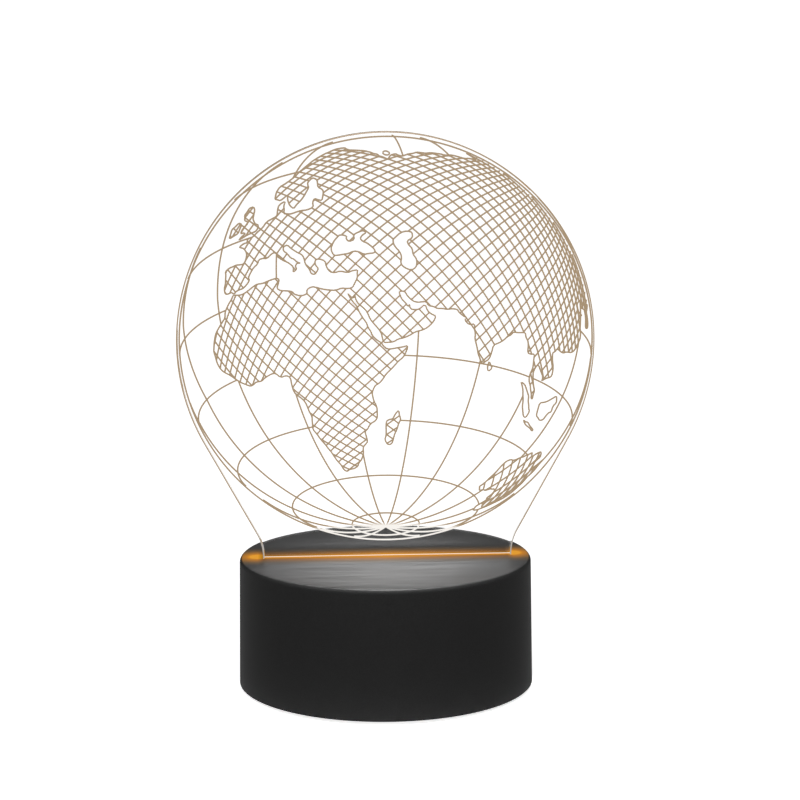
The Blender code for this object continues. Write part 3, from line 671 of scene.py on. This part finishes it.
paths = []
for outline in land_outlines + lake_outlines + island_outlines:
    paths += kept_runs(outline + outline[:1], lambda spot: seen(spot)[2] > LAND_RIM)
for number in MERIDIANS:
    longitude = FIRST_MERIDIAN + number * MERIDIAN_STEP
    line = [bent(longitude, latitude) for latitude in steps(-math.pi / 2, math.pi / 2, STEP)]
    paths += [run for run in kept_runs(line, lambda spot: in_front(spot) and at_sea(spot))
              if run_length(run) > SHORTEST_GRID_LINE]
inner_sea = [on_globe(*place) for place in INNER_SEA]
for from_pole in PARALLELS_FROM_POLE:
    latitude = math.radians(from_pole - 90)
    line = [bent(longitude, latitude) for longitude in steps(-math.pi, math.pi, STEP * 2)]
    runs = kept_runs(line, lambda spot: in_front(spot) and at_sea(spot)
                     and not inside(spot, inner_sea))
    paths += [run for run in runs if run_length(run) > SHORTEST_GRID_LINE]
# The far land in the south has only every other line of the lattice.
far_land = land_outlines[LANDS.index(AUSTRALIA)]
for family in (0, 1):
    for number in LATTICE_NUMBERS:
        thinned = number % 2 == 1
        paths += kept_runs(
            lattice_line(family, number),
            lambda spot: seen(spot)[2] > LAND_RIM and on_land(spot)
            and not (thinned and inside(spot, far_land)))
lines = [[drawn(spot) for spot in run] for run in paths]
lines.append([(OUTLINE_MIDDLE[0] + GLOBE_HALF_SIZE[0] * math.cos(angle),
               OUTLINE_MIDDLE[1] + GLOBE_HALF_SIZE[1] * math.sin(angle))
              for angle in steps(0, 2 * math.pi, STEP)])


def start_generator(name, **inputs):
    """An empty Geometry Nodes tree with a geometry and these named inputs, and its input node."""
    tree = bpy.data.node_groups.new(name, "GeometryNodeTree")
    tree.interface.new_socket("Geometry", in_out="INPUT", socket_type="NodeSocketGeometry")
    tree.interface.new_socket("Geometry", in_out="OUTPUT", socket_type="NodeSocketGeometry")
    for title, kind in inputs.items():
        tree.interface.new_socket(title.replace("_", " "), in_out="INPUT",
                                  socket_type="NodeSocket" + kind)
    return tree, add(tree, "NodeGroupInput").outputs


def end_generator(tree, shape, finish):
    """Ends the tree: the shape is made real, takes its material and leaves the tree."""
    real = add(tree, "GeometryNodeRealizeInstances", {"Geometry": shape.outputs[0]})
    finished = add(tree, "GeometryNodeSetMaterial", {
        "Geometry": real.outputs[0], "Material": finish})
    add(tree, "NodeGroupOutput", {"Geometry": finished.outputs[0]})


def grown(name, tree, guide, smooth_below=35, **values):
    """The piece that the tree makes from a guide mesh: one plain mesh, with no modifier left."""
    piece = place_piece(name, guide)
    modifier = piece.modifiers.new(name, "NODES")
    modifier.node_group = tree
    for title, value in values.items():
        modifier[tree.interface.items_tree[title.replace("_", " ")].identifier] = value
    graph = bpy.context.evaluated_depsgraph_get()
    mesh = bpy.data.meshes.new_from_object(piece.evaluated_get(graph))
    bpy.data.objects.remove(piece)
    return place_piece(name, mesh, smooth_below)


# The laser's fine frost in the grooves: it lights up tan where the panel stands clear of the
# base, and almost white in the low arch that has the dark base behind it.
base_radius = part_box("top_shell")[1].x
frosted_groove, tree, place = start_material("LaserFrostedGroove")
apart = add(tree, "ShaderNodeSeparateXYZ", {"Vector": place})
squared = add(tree, "ShaderNodeMath", {
    0: apart.outputs["X"], 1: apart.outputs["X"]}, operation="MULTIPLY")
left_over = add(tree, "ShaderNodeMath", {
    0: base_radius ** 2, 1: squared.outputs[0]}, operation="SUBTRACT")
left_over = add(tree, "ShaderNodeMath", {0: left_over.outputs[0], 1: 0.0}, operation="MAXIMUM")
depth = add(tree, "ShaderNodeMath", {0: left_over.outputs[0], 1: 0.5}, operation="POWER")
arch = add(tree, "ShaderNodeMath", {
    0: depth.outputs[0], 1: WHITE_RISE, 2: base_top}, operation="MULTIPLY_ADD")
above = add(tree, "ShaderNodeMath", {
    0: apart.outputs["Z"], 1: arch.outputs[0]}, operation="SUBTRACT")
climb = add(tree, "ShaderNodeMapRange", {
    "Value": above.outputs[0], "From Min": -WHITE_FADE, "From Max": WHITE_FADE})
glow = add(tree, "ShaderNodeValToRGB", {"Fac": climb.outputs["Result"]},
           stops=[(0.0, "#F6F2EC"), (1.0, LINE_TAN)])
shader = add(tree, "ShaderNodeBsdfPrincipled", {
    "Base Color": linear("#201C18"), "Roughness": 0.7, "IOR": 1.2,
    "Emission Color": glow.outputs["Color"], "Emission Strength": 1.0})
add(tree, "ShaderNodeOutputMaterial", {"Surface": shader.outputs[0]})

tree, given = start_generator("Engraver", Width="Float", Depth="Float", Place="Vector",
                              Finish="Material")
path = add(tree, "GeometryNodeMeshToCurve", {"Mesh": given["Geometry"]})
path = add(tree, "GeometryNodeSetCurveNormal", {"Curve": path.outputs[0]}, mode="Z_UP")
groove = add(tree, "GeometryNodeCurvePrimitiveQuadrilateral", {
    "Bottom Width": given["Width"], "Top Width": GROOVE_FLOOR, "Offset": 0.0,
    "Height": given["Depth"]}, mode="TRAPEZOID")
strips = add(tree, "GeometryNodeCurveToMesh", {
    "Curve": path.outputs[0], "Profile Curve": groove.outputs[0], "Fill Caps": True})
upright = add(tree, "GeometryNodeTransform", {
    "Geometry": strips.outputs[0], "Translation": given["Place"],
    "Rotation": (math.pi / 2, 0, 0)})
end_generator(tree, upright, given["Finish"])

bm = bmesh.new()
for line in lines:
    corners = [bm.verts.new((x, y, 0)) for x, y in line]
    for start, end in zip(corners, corners[1:]):
        if start.co != end.co:
            bm.edges.new((start, end))
mesh = as_mesh("EngravedGlobe", bm)
engraving = grown("EngravedGlobe", tree, mesh, Width=GROOVE_WIDTH, Depth=GROOVE_DEPTH,
                  Place=(panel_centre.x, panel_front + GROOVE_DEPTH / 2 - PROUD, panel_centre.z),
                  Finish=frosted_groove)
fit_piece(engraving, "panel", "clear_acrylic", frosted_groove)

# ---------------------------------------------------------------------------------------------
# Lighting board: a strip of glass-fibre laminate under a white solder mask, held under the slot
# by two screws. Its copper tracks show through the mask as wide, slightly lighter strips.
# ---------------------------------------------------------------------------------------------

TRACK_LENGTH = 7.0 * MM
TRACK_WIDTH = 1.1 * MM
TRACK_GAP = 0.2 * MM


def masked_board(name, over_copper, over_laminate):
    """Solder mask over copper tracks: a glossy coat that stands a little higher on the copper."""
    finish, tree, place = start_material(name)
    tracks = add(tree, "ShaderNodeTexBrick", {
        "Vector": place, "Color1": linear(over_copper), "Color2": linear(over_copper),
        "Mortar": linear(over_laminate), "Scale": 1.0, "Mortar Size": TRACK_GAP,
        "Mortar Smooth": 0.3, "Brick Width": TRACK_LENGTH, "Row Height": TRACK_WIDTH})
    haze = add(tree, "ShaderNodeTexNoise", {
        "Vector": place, "Scale": 1 / TRACK_LENGTH, "Detail": 3.0}).outputs["Fac"]
    roughness = add(tree, "ShaderNodeMapRange", {"Value": haze, "To Min": 0.25, "To Max": 0.45})
    step = add(tree, "ShaderNodeBump", {
        "Height": tracks.outputs["Fac"], "Strength": 0.4, "Distance": 0.035 * MM}, invert=True)
    shader = add(tree, "ShaderNodeBsdfPrincipled", {
        "Base Color": tracks.outputs["Color"], "Roughness": roughness.outputs["Result"],
        "IOR": 1.5, "Normal": step.outputs["Normal"]})
    add(tree, "ShaderNodeOutputMaterial", {"Surface": shader.outputs[0]})
    return finish


frame["nodes"]["led_board"].material_slots[0].material = masked_board(
    "WhiteSolderMask", "#E9E8E2", "#D8D7D0")

# ---------------------------------------------------------------------------------------------
# Lights: eight side-by-side LED packages, soldered to the board. Each is a white moulded tray
# filled with a yellow phosphor gel, which glows a warm white.
# ---------------------------------------------------------------------------------------------

LIGHTS = [f"led_{number}" for number in range(1, 9)]
TRAY_WALL = 0.4 * MM
TRAY_EDGE = 0.12 * MM
GEL_DEPTH = 0.5 * MM
GEL_SUNK = 0.1 * MM  # under the tray's top
GEL_EDGE = 0.15 * MM
GRAIN_SHADES = 0.15  # share of the noise's range that the two shades cover


def block(bm, low, high, bevel):
    """A box between two corners, with its edges rounded off."""
    verts = bmesh.ops.create_cube(bm, size=1)["verts"]
    bmesh.ops.scale(bm, vec=Vector(high) - Vector(low), verts=verts)
    bmesh.ops.translate(bm, vec=(Vector(low) + Vector(high)) / 2, verts=verts)
    edges = list(dict.fromkeys(edge for vert in verts for edge in vert.link_edges))
    bmesh.ops.bevel(bm, geom=edges, offset=bevel, segments=2, profile=0.5, affect="EDGES")


def finished_mesh(name, bm):
    """The bmesh as a mesh, with its faces outwards."""
    bmesh.ops.recalc_face_normals(bm, faces=bm.faces)
    return as_mesh(name, bm)


def middle_of(node):
    """The middle of a CAD node's box."""
    low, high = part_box(node)
    return (low + high) / 2


def foot_of(node):
    """The middle of the underside of a CAD node's box."""
    low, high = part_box(node)
    return (low.x + high.x) / 2, (low.y + high.y) / 2, low.z


def turned(name, profile, sides=32):
    """The shape that (radius, height) points sweep round the Z axis."""
    bm = bmesh.new()
    rings = []
    for radius, height in profile:
        count = sides if radius else 1
        rings.append([bm.verts.new((radius * math.cos(2 * math.pi * side / sides),
                                    radius * math.sin(2 * math.pi * side / sides), height))
                      for side in range(count)])
    for low, high in zip(rings, rings[1:]):
        for side in range(sides):
            after = side + 1
            corners = (low[side % len(low)], low[after % len(low)],
                       high[after % len(high)], high[side % len(high)])
            bm.faces.new(list(dict.fromkeys(corners)))
    return finished_mesh(name, bm)


def grained(name, dark, light, grain, roughness, relief, **finish):
    """A surface of two close shades: grain and relief are its texture's real width and height."""
    material, tree, place = start_material(name)
    noise = add(tree, "ShaderNodeTexNoise", {
        "Vector": place, "Scale": 1 / grain, "Detail": 4.0, "Roughness": 0.6}).outputs["Fac"]
    shade = add(tree, "ShaderNodeValToRGB", {"Fac": noise}, stops=[
        (0.5 - GRAIN_SHADES, dark), (0.5 + GRAIN_SHADES, light)])
    rough = add(tree, "ShaderNodeMapRange", {
        "Value": noise, "To Min": roughness[0], "To Max": roughness[1]})
    bump = add(tree, "ShaderNodeBump", {"Height": noise, "Strength": 0.5, "Distance": relief})
    shader = add(tree, "ShaderNodeBsdfPrincipled", {
        "Base Color": shade.outputs["Color"], "Roughness": rough.outputs["Result"],
        "Normal": bump.outputs["Normal"], **finish})
    add(tree, "ShaderNodeOutputMaterial", {"Surface": shader.outputs[0]})
    return material


copier, given = start_generator("CopiesAtPoints", Part="Object", Finish="Material")
part = add(copier, "GeometryNodeObjectInfo", {"Object": given["Part"], "As Instance": True})
copies = add(copier, "GeometryNodeInstanceOnPoints", {
    "Points": given["Geometry"], "Instance": part.outputs["Geometry"]})
end_generator(copier, copies, given["Finish"])


def scattered(name, mesh, places, finish):
    """One piece of like parts, with a copy of the mesh at each place."""
    part = place_piece(name + "Part", mesh)
    guide = bpy.data.meshes.new(name)
    guide.from_pydata([tuple(place) for place in places], [], [])
    piece = grown(name, copier, guide, Part=part, Finish=finish)
    bpy.data.objects.remove(part)
    return piece


light_low, light_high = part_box("led_1")
light_half = (light_high - light_low) / 2
light_places = [foot_of(light) for light in LIGHTS]

# The tray: a white moulding round a well, whose floor the gel hides.
bm = bmesh.new()
block(bm, (-light_half.x, -light_half.y, 0), (light_half.x, light_half.y, light_half.z * 2),
      TRAY_EDGE)
top = max(bm.faces, key=lambda face: (face.normal.z, face.calc_area()))
bmesh.ops.inset_region(bm, faces=[top], thickness=TRAY_WALL)
bmesh.ops.translate(bm, vec=(0, 0, -GEL_DEPTH), verts=top.verts)
# High-temperature nylon: white, smooth and slightly glossy.
tray_nylon = grained("WhiteMouldedNylon", "#E4E2DA", "#EEECE6", 0.3 * MM, (0.35, 0.5),
                     0.005 * MM, IOR=1.53)
trays = scattered("LightTrays", finished_mesh("LightTray", bm), light_places, tray_nylon)
fit_piece(trays, "base", "led_package", tray_nylon, *LIGHTS)

# Silicone with phosphor grains, lit from below: it is a warm white, rounded at its edges.
gel = grained("LitPhosphorGel", "#F2B24C", "#FFC766", 0.2 * MM, (0.15, 0.3), 0.004 * MM,
              **{"IOR": 1.41, "Emission Color": linear("#FFC27A"), "Emission Strength": 2.0})
gel_x = light_half.x - TRAY_WALL - TRAY_EDGE
gel_y = light_half.y - TRAY_WALL - TRAY_EDGE
bm = bmesh.new()
block(bm, (-gel_x, -gel_y, light_half.z * 2 - GEL_DEPTH),
      (gel_x, gel_y, light_half.z * 2 - GEL_SUNK), GEL_EDGE)
windows = scattered("LightWindows", finished_mesh("LightWindow", bm), light_places, gel)
fit_piece(windows, "base", "led_package", gel)

# ---------------------------------------------------------------------------------------------
# Screws: cross-recessed self-tapping screws of zinc-plated steel. Two hold the lighting board,
# two the control board, and four larger ones the bottom cover.
# ---------------------------------------------------------------------------------------------

THREAD_PITCH = 0.9 * MM
PLATING_PATCH = 1.5 * MM
SCREW_SETS = {"LightBoardScrews": ["led_board_screw_1", "led_board_screw_2"],
              "ControlBoardScrews": ["control_board_screw_1", "control_board_screw_2"],
              "CoverScrews": ["cover_screw_1", "cover_screw_2", "cover_screw_3",
                              "cover_screw_4"]}

# Zinc plate with a clear passivation: a cool bright grey with faint blue and straw patches.
zinc_plate, tree, place = start_material("ZincPlatedSteel")
patches = add(tree, "ShaderNodeTexNoise", {
    "Vector": place, "Scale": 1 / PLATING_PATCH, "Detail": 2.0})
shade = add(tree, "ShaderNodeValToRGB", {"Fac": patches.outputs["Fac"]},
            stops=[(0.35, "#B9BFC6"), (0.65, "#CBC7B8")])
height = add(tree, "ShaderNodeSeparateXYZ", {"Vector": place}).outputs["Z"]
turns = add(tree, "ShaderNodeMath", {0: height, 1: THREAD_PITCH}, operation="DIVIDE")
turns = add(tree, "ShaderNodeMath", {0: turns.outputs[0], 1: 0.5}, operation="PINGPONG")
thread = add(tree, "ShaderNodeBump", {
    "Height": turns.outputs[0], "Strength": 0.5, "Distance": 0.15 * MM})
shader = add(tree, "ShaderNodeBsdfPrincipled", {
    "Base Color": shade.outputs["Color"], "Metallic": 1.0, "Roughness": 0.3,
    "Normal": thread.outputs["Normal"]})
add(tree, "ShaderNodeOutputMaterial", {"Surface": shader.outputs[0]})

for name, nodes in SCREW_SETS.items():
    model = merged_copy(nodes[0], name + "Model")
    mesh = model.data.copy()
    bpy.data.objects.remove(model)
    middles = [middle_of(node) for node in nodes]
    mesh.transform(Matrix.Translation(-middles[0]))
    screws = scattered(name, mesh, middles, zinc_plate)
    fit_piece(screws, "base", "zinc_plated_steel", zinc_plate, *nodes)

# ---------------------------------------------------------------------------------------------
# Control board: green glass-fibre laminate behind the slot, with a colour controller, three
# resistors and a capacitor on it. It drives the lights and reads the button.
# ---------------------------------------------------------------------------------------------

LEG_WIDTH = 0.4 * MM
LEG_PITCH = 1.0 * MM
LEG_REACH = 0.5 * MM
LEG_SHEET = 0.15 * MM
CHIP_EDGE = 0.15 * MM
CAP_LENGTH = 0.4 * MM  # the metal end of a resistor

frame["nodes"]["control_board"].material_slots[0].material = masked_board(
    "GreenSolderMask", "#1E7A3C", "#14532A")

# Epoxy filled with silica: black, with a fine dull grain.
epoxy = grained("BlackMouldedEpoxy", "#151515", "#212121", 0.15 * MM, (0.45, 0.6), 0.01 * MM,
                IOR=1.55)
# Tin, plated bright and a little uneven.
tin = grained("TinnedSteel", "#B4B4B2", "#CFCFCC", 0.5 * MM, (0.22, 0.38), 0.006 * MM,
              Metallic=1.0)

low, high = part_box("controller_chip")
bm = bmesh.new()
block(bm, (low.x + LEG_REACH, low.y, low.z + LEG_SHEET), (high.x - LEG_REACH, high.y, high.z),
      CHIP_EDGE)
chip = place_piece("ControllerChip", finished_mesh("ControllerChip", bm))
fit_piece(chip, "base", "black_moulding", epoxy, "controller_chip")

leg_places = [((low.x + LEG_REACH / 2) if left else (high.x - LEG_REACH / 2),
               (low.y + high.y) / 2 + (row - 1.5) * LEG_PITCH, low.z)
              for left in (True, False) for row in range(4)]
bm = bmesh.new()
block(bm, (-LEG_REACH, -LEG_WIDTH / 2, 0), (LEG_REACH, LEG_WIDTH / 2, LEG_SHEET),
      LEG_SHEET / 5)
block(bm, (-LEG_SHEET / 2, -LEG_WIDTH / 2, 0), (LEG_SHEET / 2, LEG_WIDTH / 2, 4 * LEG_SHEET),
      LEG_SHEET / 5)
legs = scattered("ControllerLegs", finished_mesh("ControllerLeg", bm), leg_places, tin)
fit_piece(legs, "base", "tinned_steel", tin)

RESISTORS = ["resistor_1", "resistor_2", "resistor_3"]
low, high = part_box("resistor_1")
half = (high - low) / 2
resistor_places = [middle_of(node) for node in RESISTORS]
bm = bmesh.new()
block(bm, (-half.x + CAP_LENGTH, -half.y * 0.96, -half.z * 0.9),
      (half.x - CAP_LENGTH, half.y * 0.96, half.z), 0.05 * MM)
resistors = scattered("Resistors", finished_mesh("Resistor", bm), resistor_places, epoxy)
fit_piece(resistors, "base", "black_moulding", epoxy, *RESISTORS)
bm = bmesh.new()
for left, right in ((-half.x, -half.x + CAP_LENGTH), (half.x - CAP_LENGTH, half.x)):
    block(bm, (left, -half.y, -half.z), (right, half.y, half.z * 0.96), 0.08 * MM)
resistor_ends = scattered("ResistorEnds", finished_mesh("ResistorEnds", bm), resistor_places, tin)
fit_piece(resistor_ends, "base", "tinned_steel", tin)

# The capacitor: an aluminium can in a shrunk dark blue sleeve, crimped over its rubber bung.
sleeve = grained("BlueShrinkSleeve", "#0E1A3E", "#16265A", 0.6 * MM, (0.2, 0.35), 0.01 * MM,
                 IOR=1.53)
low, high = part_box("capacitor")
radius = (high.x - low.x) / 2
tall = high.z - low.z
can = turned("Capacitor", [
    (0, 0), (0.85 * radius, 0), (0.96 * radius, 0.03 * tall), (radius, 0.08 * tall),
    (radius, 0.14 * tall), (0.9 * radius, 0.19 * tall), (radius, 0.24 * tall),
    (radius, 0.95 * tall), (0.93 * radius, tall), (0.8 * radius, tall),
    (0.78 * radius, 0.98 * tall), (0, 0.98 * tall)], sides=48)
can.transform(Matrix.Translation(foot_of("capacitor")))
capacitor = place_piece("Capacitor", can)
fit_piece(capacitor, "base", "capacitor_sleeve", sleeve, "capacitor")
can.materials.append(tin)
for face in can.polygons:
    if face.center.z > low.z + 0.97 * tall and (
            face.center - Vector(((low.x + high.x) / 2, (low.y + high.y) / 2, high.z))
            ).length < 0.8 * radius:
        face.material_index = 1

# ---------------------------------------------------------------------------------------------
# Leads: four thin insulated wires from the control board to the lighting board, one for power
# and one for each colour, soldered at both ends.
# ---------------------------------------------------------------------------------------------

LEAD_RADIUS = 0.5 * MM
LEAD_BENDS = [(15.5 * MM, 11.0 * MM), (15.2 * MM, 14.0 * MM), (10.5 * MM, 17.5 * MM),
              (6.2 * MM, 19.6 * MM), (5.5 * MM, 22.2 * MM)]  # (y, z), from the control board up
LEAD_COLOURS = {"red": ("#8E1010", "#A81A16"), "green": ("#0E5A22", "#15702E"),
                "blue": ("#12307E", "#1A3E98"), "white": ("#CFCFCB", "#DEDEDA")}

wirer, given = start_generator("InsulatedWire", Radius="Float", Finish="Material")
route = add(wirer, "GeometryNodeMeshToCurve", {"Mesh": given["Geometry"]})
route = add(wirer, "GeometryNodeCurveSplineType", {"Curve": route.outputs[0]},
            spline_type="CATMULL_ROM")
route = add(wirer, "GeometryNodeResampleCurve", {"Curve": route.outputs[0], "Count": 40})
ring = add(wirer, "GeometryNodeCurvePrimitiveCircle", {"Resolution": 16, "Radius": given["Radius"]})
tube = add(wirer, "GeometryNodeCurveToMesh", {
    "Curve": route.outputs[0], "Profile Curve": ring.outputs[0], "Fill Caps": True})
end_generator(wirer, tube, given["Finish"])

for colour, (dark, light) in LEAD_COLOURS.items():
    low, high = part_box(f"lead_{colour}")
    # Soft PVC: glossy, with long shallow waves from the extruder.
    pvc = grained(f"{colour.capitalize()}PVCInsulation", dark, light, 1.5 * MM, (0.28, 0.42),
                  0.02 * MM, IOR=1.54)
    guide = bpy.data.meshes.new(f"Lead{colour.capitalize()}")
    guide.from_pydata([((low.x + high.x) / 2, y, z) for y, z in LEAD_BENDS],
                      [(bend, bend + 1) for bend in range(len(LEAD_BENDS) - 1)], [])
    lead = grown(f"Lead{colour.capitalize()}", wirer, guide, Radius=LEAD_RADIUS, Finish=pvc)
    fit_piece(lead, "base", f"lead_{colour}", pvc, f"lead_{colour}")

# ---------------------------------------------------------------------------------------------
# Button: a satin ABS cap in a round hole at the rear, which presses the plunger of a small
# switch. A flange inside the shell keeps it in, and its face is slightly dished.
# ---------------------------------------------------------------------------------------------

BUTTON_RADIUS = 3.0 * MM
FLANGE_RADIUS = 3.9 * MM
FLANGE_THICKNESS = 1.2 * MM
BUTTON_EDGE = 0.4 * MM
DISH_DEPTH = 0.25 * MM
FLANGE_EDGE = 0.1 * MM
SHORT_OF_CAD = 0.1 * MM  # the cap ends this far inside the end of its CAD box

low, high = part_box("button_cap")
deep = high.y - low.y - SHORT_OF_CAD
cap_mesh = turned("ButtonCap", [
    (0, 0), (FLANGE_RADIUS - FLANGE_EDGE, 0), (FLANGE_RADIUS, FLANGE_EDGE),
    (FLANGE_RADIUS, FLANGE_THICKNESS), (BUTTON_RADIUS, FLANGE_THICKNESS),
    (BUTTON_RADIUS, deep - BUTTON_EDGE),
    (BUTTON_RADIUS - 0.3 * BUTTON_EDGE, deep - 0.3 * BUTTON_EDGE),
    (BUTTON_RADIUS - BUTTON_EDGE, deep), (0.7 * BUTTON_RADIUS, deep - 0.3 * DISH_DEPTH),
    (0.35 * BUTTON_RADIUS, deep - 0.85 * DISH_DEPTH), (0, deep - DISH_DEPTH)], sides=64)
cap_mesh.transform(Matrix.Translation(((low.x + high.x) / 2, low.y, (low.z + high.z) / 2))
                   @ Matrix.Rotation(-math.pi / 2, 4, "X"))
# ABS from a polished mould, a shade glossier than the shell.
button_abs = grained("SatinBlackABSButton", "#141414", "#1B1B1B", 0.8 * MM, (0.25, 0.38),
                     0.01 * MM, IOR=1.5)
button = place_piece("ButtonCap", cap_mesh)
fit_piece(button, "button", "button_plastic", button_abs, "button_cap")

for node in ("switch_body", "switch_plunger"):
    frame["nodes"][node].material_slots[0].material = epoxy

# ---------------------------------------------------------------------------------------------
# Power inlet: a small flat supply socket on the control board. Its shell is tinned steel sheet bent
# round a black tongue, which carries five gold-plated contacts.
# ---------------------------------------------------------------------------------------------

CONTACT_WIDTH = 0.4 * MM
CONTACT_PITCH = 0.8 * MM
CONTACT_SHEET = 0.05 * MM
CONTACT_SHORT = 0.4 * MM  # the contacts end this far from the tongue's edge

inlet = merged_copy("inlet_shell", "InletShell")
fit_piece(inlet, "base", "tinned_steel", tin, "inlet_shell")
frame["nodes"]["inlet_tongue"].material_slots[0].material = epoxy

low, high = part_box("inlet_tongue")
gold = grained("GoldPlatedContact", "#D8A93E", "#EBC25C", 0.4 * MM, (0.2, 0.32), 0.004 * MM,
               Metallic=1.0)
bm = bmesh.new()
block(bm, (-CONTACT_WIDTH / 2, low.y, high.z),
      (CONTACT_WIDTH / 2, high.y - CONTACT_SHORT, high.z + CONTACT_SHEET), CONTACT_SHEET / 4)
contacts = scattered("InletContacts", finished_mesh("InletContact", bm), [
    ((low.x + high.x) / 2 + (number - 2) * CONTACT_PITCH, 0, 0) for number in range(5)], gold)
fit_piece(contacts, "base", "tinned_steel", gold)

# ---------------------------------------------------------------------------------------------
# Bottom cover: a moulded black ABS disc that closes the base from below. It has the coarse
# spark-eroded texture of a face that isn't meant to be seen.
# ---------------------------------------------------------------------------------------------

cover_abs = grained("SparkTexturedABSCover", "#101010", "#1A1A1A", 0.5 * MM, (0.55, 0.7),
                    0.04 * MM, IOR=1.45)
cover = merged_copy("bottom_cover", "BottomCover")
fit_piece(cover, "base", "black_abs_cover", cover_abs, "bottom_cover")

# ---------------------------------------------------------------------------------------------
# Feet: four self-adhesive rubber pads in the cover's pockets. Each is round, with a dished
# middle and a rounded lower edge, and matt.
# ---------------------------------------------------------------------------------------------

FEET = ["foot_1", "foot_2", "foot_3", "foot_4"]

low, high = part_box("foot_1")
radius = (high.x - low.x) / 2
thick = high.z - low.z
foot_rubber = grained("MattGreyRubber", "#343434", "#3F3F3F", 0.25 * MM, (0.75, 0.9),
                      0.015 * MM, IOR=1.52)
pad = turned("Foot", [
    (0, 0.12 * thick), (0.45 * radius, 0.08 * thick), (0.62 * radius, 0), (0.8 * radius, 0),
    (0.93 * radius, 0.08 * thick), (radius, 0.3 * thick), (radius, thick), (0, thick)], sides=48)
feet = scattered("Feet", pad, [foot_of(foot) for foot in FEET], foot_rubber)
fit_piece(feet, "base", "grey_rubber", foot_rubber, *FEET)

# ---------------------------------------------------------------------------------------------
# Room: a plain pale floor under a white backdrop, in a studio that is dim behind the camera. A
# soft lamp hangs on the left, and a narrow one over the base lights the front of its top.
# ---------------------------------------------------------------------------------------------

FLOOR_HALF = 1.5
FLOOR_GLOW = 0.85
DIM = 0.26  # the studio as the lamp is lit by it
WHITE = 1.12  # the backdrop as it is looked at
MIRRORED_SHARE = 0.35  # how much of the backdrop's white a glossy face sees through the panel
AIMED_AT = Vector((0, 0, 0.06))
SPOT_AIMED_AT = Vector((0, -0.015, base_top))

scene = bpy.context.scene
scene.view_settings.view_transform = "Standard"

# White painted board, matt.
white_floor, tree, _ = start_material("MattWhiteFloor")
shader = add(tree, "ShaderNodeBsdfPrincipled", {
    "Base Color": linear("#F4F4F4"), "Roughness": 0.9,
    "Emission Color": linear("#FFFFFF"), "Emission Strength": FLOOR_GLOW})
add(tree, "ShaderNodeOutputMaterial", {"Surface": shader.outputs[0]})
bm = bmesh.new()
bm.faces.new([bm.verts.new(corner) for corner in (
    (-FLOOR_HALF, -FLOOR_HALF, 0), (FLOOR_HALF, -FLOOR_HALF, 0),
    (FLOOR_HALF, FLOOR_HALF, 0), (-FLOOR_HALF, FLOOR_HALF, 0))])
floor = place_piece("Floor", as_mesh("Floor", bm))
floor.data.materials.append(white_floor)

# The backdrop is white where it is looked at, straight or through the panel, and dim to light by.
world = bpy.data.worlds.new("Studio")
world.use_nodes = True
tree = world.node_tree
tree.nodes.clear()
ray = add(tree, "ShaderNodeLightPath").outputs
looked_at = add(tree, "ShaderNodeMath", {
    0: ray["Is Camera Ray"], 1: ray["Is Transmission Ray"]}, operation="MAXIMUM")
mirrored = add(tree, "ShaderNodeMapRange", {
    "Value": ray["Glossy Depth"], "To Min": 1.0, "To Max": MIRRORED_SHARE})
looked_at = add(tree, "ShaderNodeMath", {
    0: looked_at.outputs[0], 1: mirrored.outputs["Result"]}, operation="MULTIPLY")
strength = add(tree, "ShaderNodeMix", {0: looked_at.outputs[0], 2: DIM, 3: WHITE})
background = add(tree, "ShaderNodeBackground", {
    "Color": linear("#FFFFFF"), "Strength": strength.outputs[0]})
add(tree, "ShaderNodeOutputWorld", {"Surface": background.outputs[0]})
scene.world = world

lamp = bpy.data.objects.new("SoftLamp", bpy.data.lights.new("SoftLamp", "AREA"))
lamp.data.shape = "DISK"
lamp.data.size = 0.9
lamp.data.energy = 2.5
lamp.location = (-0.5, -0.4, 0.95)
lamp.rotation_mode = "QUATERNION"
lamp.rotation_quaternion = (AIMED_AT - lamp.location).to_track_quat("-Z", "Y")
scene.collection.objects.link(lamp)

spot = bpy.data.objects.new("NarrowLamp", bpy.data.lights.new("NarrowLamp", "SPOT"))
spot.data.energy = 290
spot.data.shadow_soft_size = 0.03
spot.data.spot_size = math.radians(5.2)
spot.data.spot_blend = 1.0
spot.location = (0, -0.06, 0.6)
spot.rotation_mode = "QUATERNION"
spot.rotation_quaternion = (SPOT_AIMED_AT - spot.location).to_track_quat("-Z", "Y")
scene.collection.objects.link(spot)
